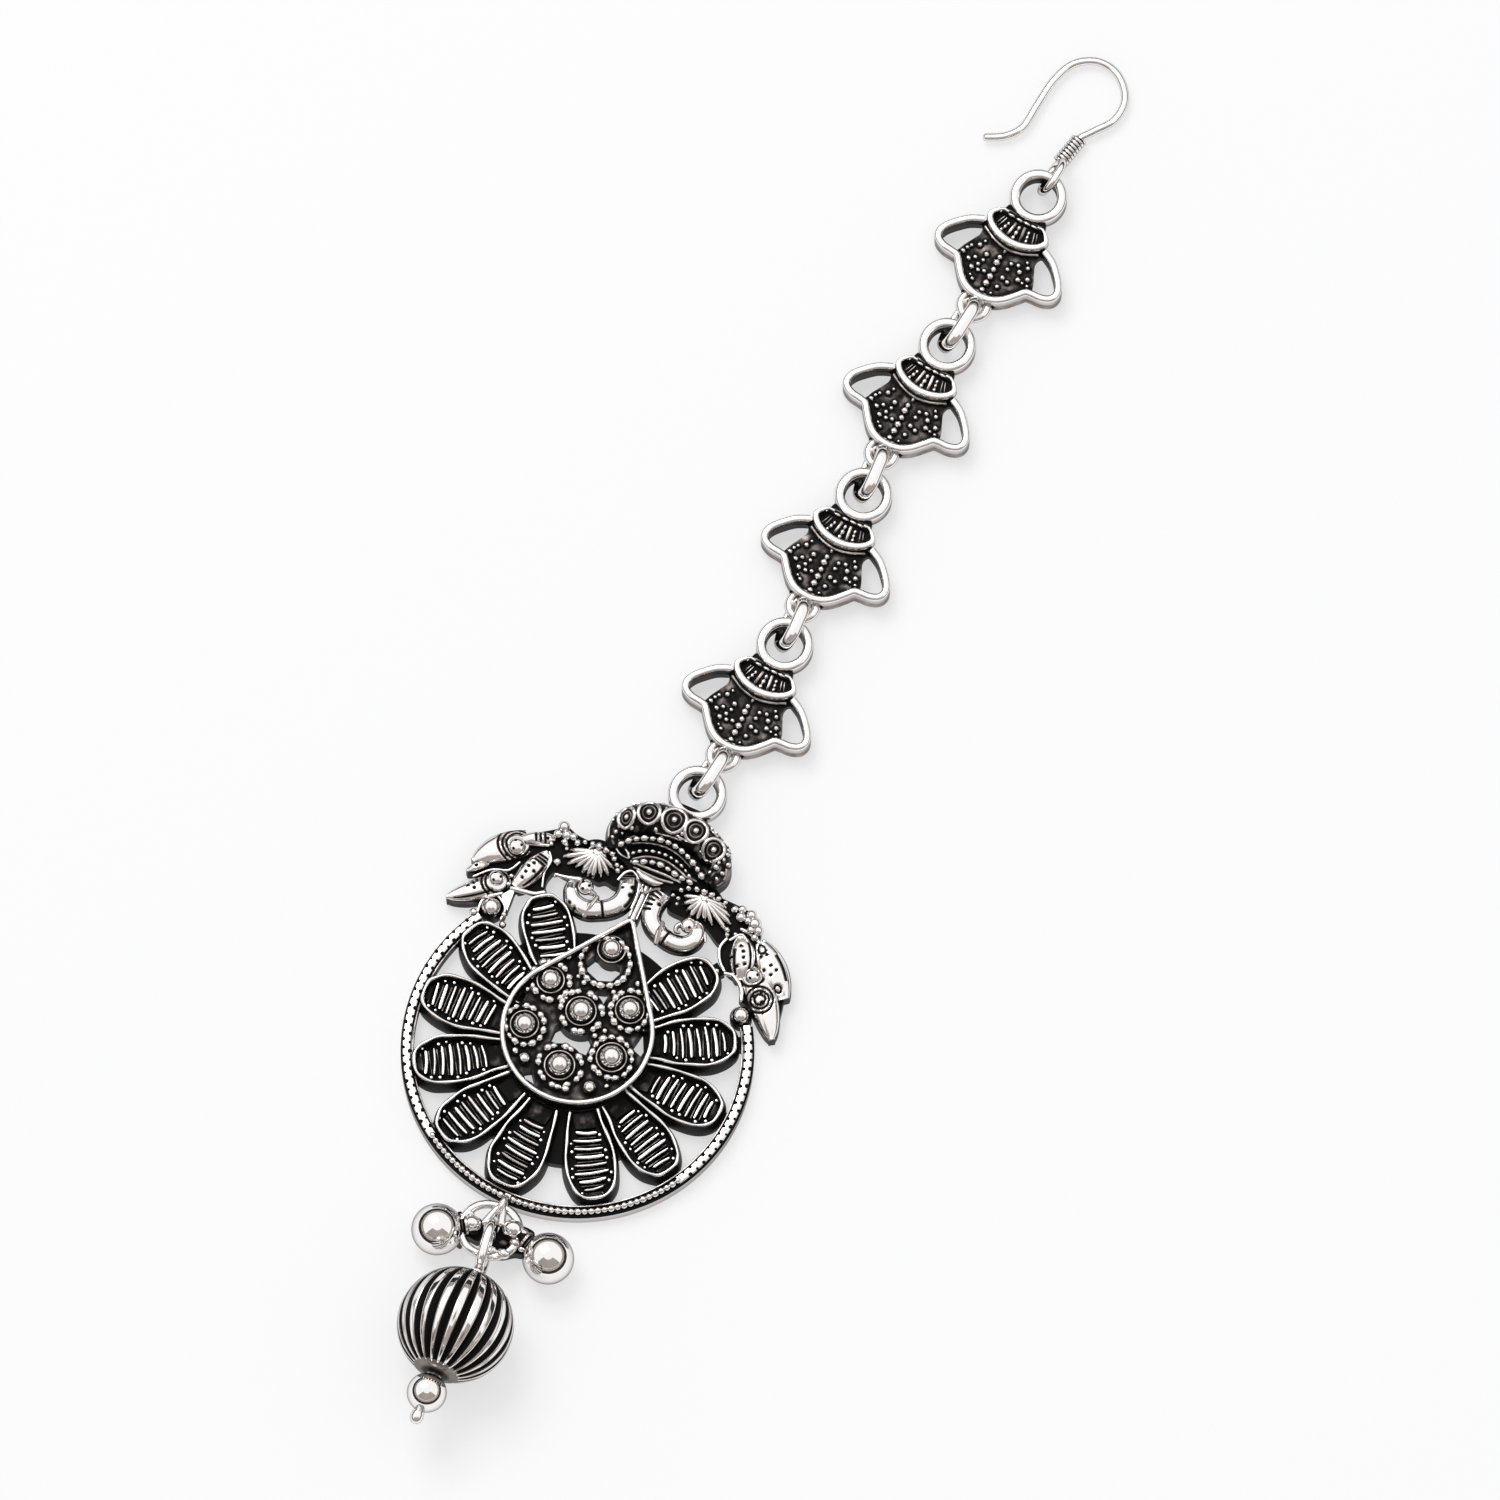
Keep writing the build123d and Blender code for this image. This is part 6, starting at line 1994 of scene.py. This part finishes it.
# ---- studio
@dataclass
class Studio:
    """Pale floor, soft light and the camera."""

    target: Triple = (2.75, 36.15, 0.0)
    back: Triple = (0.126, -0.282, 0.951)
    image_up: Point = (-0.407, 0.914)
    distance_mm: float = 6000.0
    frame_mm: float = 150.0
    sensor_mm: float = 36.0
    floor_half_m: float = 1.5
    floor_gap: float = 0.02
    paper_share: float = 0.56
    fill_strength: float = 0.68
    key_size_m: float = 1.1
    key_power: float = 15.0
    key_from_m: Triple = (-0.84, 0.60, 1.70)

    def build(self) -> None:
        """Builds the floor, the lamps, the world and the camera."""
        bpy.context.scene.view_settings.view_transform = "Standard"
        self.build_camera()
        self.build_world()
        self.build_floor()
        self.build_lamps()

    def build_camera(self) -> None:
        """Stands the camera back from its target along the sight line."""
        data = bpy.data.cameras.new("camera")
        data.sensor_width = self.sensor_mm
        data.lens = self.sensor_mm * self.distance_mm / self.frame_mm
        data.clip_start = 0.01
        data.clip_end = 20.0
        camera = new_object("camera", data)
        back = Vector(self.back).normalized()
        up = Vector((*self.image_up, 0.0))
        up = (up - back * up.dot(back)).normalized()
        right = up.cross(back)
        stand = Matrix.Translation((Vector(self.target) + back * self.distance_mm) * MM)
        camera.matrix_world = stand @ Matrix((right, up, back)).transposed().to_4x4()
        bpy.context.scene.camera = camera

    @staticmethod
    def seen(sheet: NodeSheet) -> Socket:
        """One for the rays of sight, gloss and glass, nothing for the rest.

        Args:
            sheet: The sheet of the tree.

        Returns:
            The share.
        """
        path = sheet.node("ShaderNodeLightPath")
        either = sheet.maths("ADD", path.outputs["Is Camera Ray"], path.outputs["Is Glossy Ray"])
        return sheet.maths("ADD", either, path.outputs["Is Transmission Ray"], clamp=True)

    @staticmethod
    def whiten(sheet: NodeSheet, share: Socket, plain: bpy.types.Node, kind: str,
               output: str) -> None:
        """Mixes plain white into a shader and joins it to the output.

        Args:
            sheet: The sheet of the tree.
            share: How much of the white there is.
            plain: The shader.
            kind: The type of the node that gives the white.
            output: The name of the output node.
        """
        white = sheet.node(kind)
        white.inputs["Color"].default_value = (1.0, 1.0, 1.0, 1.0)
        white.inputs["Strength"].default_value = 1.0
        either = sheet.node("ShaderNodeMixShader")
        for socket, source in zip(either.inputs, (share, plain.outputs[0], white.outputs[0])):
            sheet.join(source, socket)
        sheet.join(either.outputs[0], sheet.tree.nodes[output].inputs["Surface"])

    def build_world(self) -> None:
        """White backdrop for sight, gloss and glass; a plain soft light for the rest."""
        world = bpy.data.worlds.new("studio_world")
        bpy.context.scene.world = world
        world.use_nodes = True
        sheet = NodeSheet(world.node_tree)
        fill = world.node_tree.nodes["Background"]
        fill.inputs["Color"].default_value = (1.0, 1.0, 1.0, 1.0)
        fill.inputs["Strength"].default_value = self.fill_strength
        self.whiten(sheet, self.seen(sheet), fill, "ShaderNodeBackground", "World Output")

    def build_floor(self) -> None:
        """Lays the white floor just under the ornament."""
        half = self.floor_half_m
        mesh = bpy.data.meshes.new("floor")
        corners = [(-half, -half, 0), (half, -half, 0), (half, half, 0), (-half, half, 0)]
        mesh.from_pydata(corners, [], [(0, 1, 2, 3)])
        material, sheet, shader = new_material("white_sweep")
        shader.inputs["Base Color"].default_value = (0.97, 0.97, 0.975, 1.0)
        shader.inputs["Roughness"].default_value = 1.0
        shader.inputs["Specular IOR Level"].default_value = 0.0
        share = sheet.maths("MULTIPLY", self.seen(sheet), self.paper_share)
        self.whiten(sheet, share, shader, "ShaderNodeEmission", "Material Output")
        mesh.materials.append(material)
        floor = new_object("floor", mesh)
        floor.location.z = frame_box[0].z - self.floor_gap * MM

    def build_lamps(self) -> None:
        """Hangs the soft key light and stands the cards that give the metal its tones."""
        key = bpy.data.lights.new("key", "AREA")
        key.shape = "RECTANGLE"
        key.size = key.size_y = self.key_size_m
        key.energy = self.key_power
        lamp = new_object("key", key)
        aim = Vector(self.target) * MM
        lamp.location = aim + Vector(self.key_from_m)
        lamp.rotation_mode = "QUATERNION"
        lamp.rotation_quaternion = (lamp.location - aim).to_track_quat("Z", "Y")
        self.build_cards()

    def build_cards(self) -> None:
        """Stands the cards that the metal reflects: black ones low all round, a warm grey one in front."""
        near = math.degrees(math.atan2(-self.image_up[1], -self.image_up[0]))
        self.card("low_flags", (0.02, 0.02, 0.02), (0.0, 360.0), (0.9, 0.0), (0.9, 0.25))
        self.card("grey_band", (0.4, 0.35, 0.325), (0.0, 360.0), (0.9, 0.26), (0.88, 0.42))
        self.card("grey_card", (0.4, 0.352, 0.325), (near - 60.0, near + 60.0), (0.86, 0.44), (0.46, 1.1))

    def card(self, name: str, colour: tuple[float, float, float], span_deg: tuple[float, float],
             foot: Point, head: Point) -> None:
        """Stands one curved card round the table, seen only in reflections.

        Args:
            name: Its name.
            colour: Its colour.
            span_deg: The angles between which it stands.
            foot: The distance out and the height of its lower edge, in metres.
            head: The same for its upper edge.
        """
        count = 25
        angles = np.radians(np.linspace(*span_deg, count))
        edges = [np.column_stack([out * np.cos(angles), out * np.sin(angles), np.full(count, up)])
                 for out, up in (foot, head)]
        faces = [(k, k + 1, k + 1 + count, k + count) for k in range(count - 1)]
        mesh = bpy.data.meshes.new(name)
        mesh.from_pydata(np.vstack(edges).tolist(), [], faces)
        material, _, shader = new_material(name)
        shader.inputs["Base Color"].default_value = (*colour, 1.0)
        shader.inputs["Roughness"].default_value = 0.9
        mesh.materials.append(material)
        panel = new_object(name, mesh)
        panel.visible_camera = False
        panel.visible_diffuse = False
        panel.visible_shadow = False


def eyelet_place(link: Link) -> Point:
    """The middle of a link's eyelet in the row frame."""
    spot = turned_place(link.x, link.y, link.lean_deg) @ Vector((0, link.eyelet_y, 0))
    return (spot.x, spot.y)


# The links from the hook down: x and y of the top ring, lean in degrees
CHAIN = [(5.75, 100.45, 6.0), (3.75, 82.4, 6.5), (2.52, 64.55, 4.1), (1.72, 46.95, 4.3)]


def main() -> None:
    """Builds the ornament from the hook down, then the studio."""
    logging.basicConfig(level=logging.INFO, format="%(name)s: %(message)s")
    finishes = Finishes()
    Hook(finishes).build()
    links = [Link(finishes, n + 1, *place) for n, place in enumerate(CHAIN)]
    below = [(link.x, link.y) for link in links[1:]] + [Turban.ring_at]
    for link, ring in zip(links, below):
        link.build()
        JumpRing(finishes, link.number, eyelet_place(link), ring).build()
    for part in (BallRing, Drop, Rim, Petals, Setting, Turban, Foliage, Figures):
        part(finishes).build()
    Studio().build()


if __name__ == "__main__":
    main()
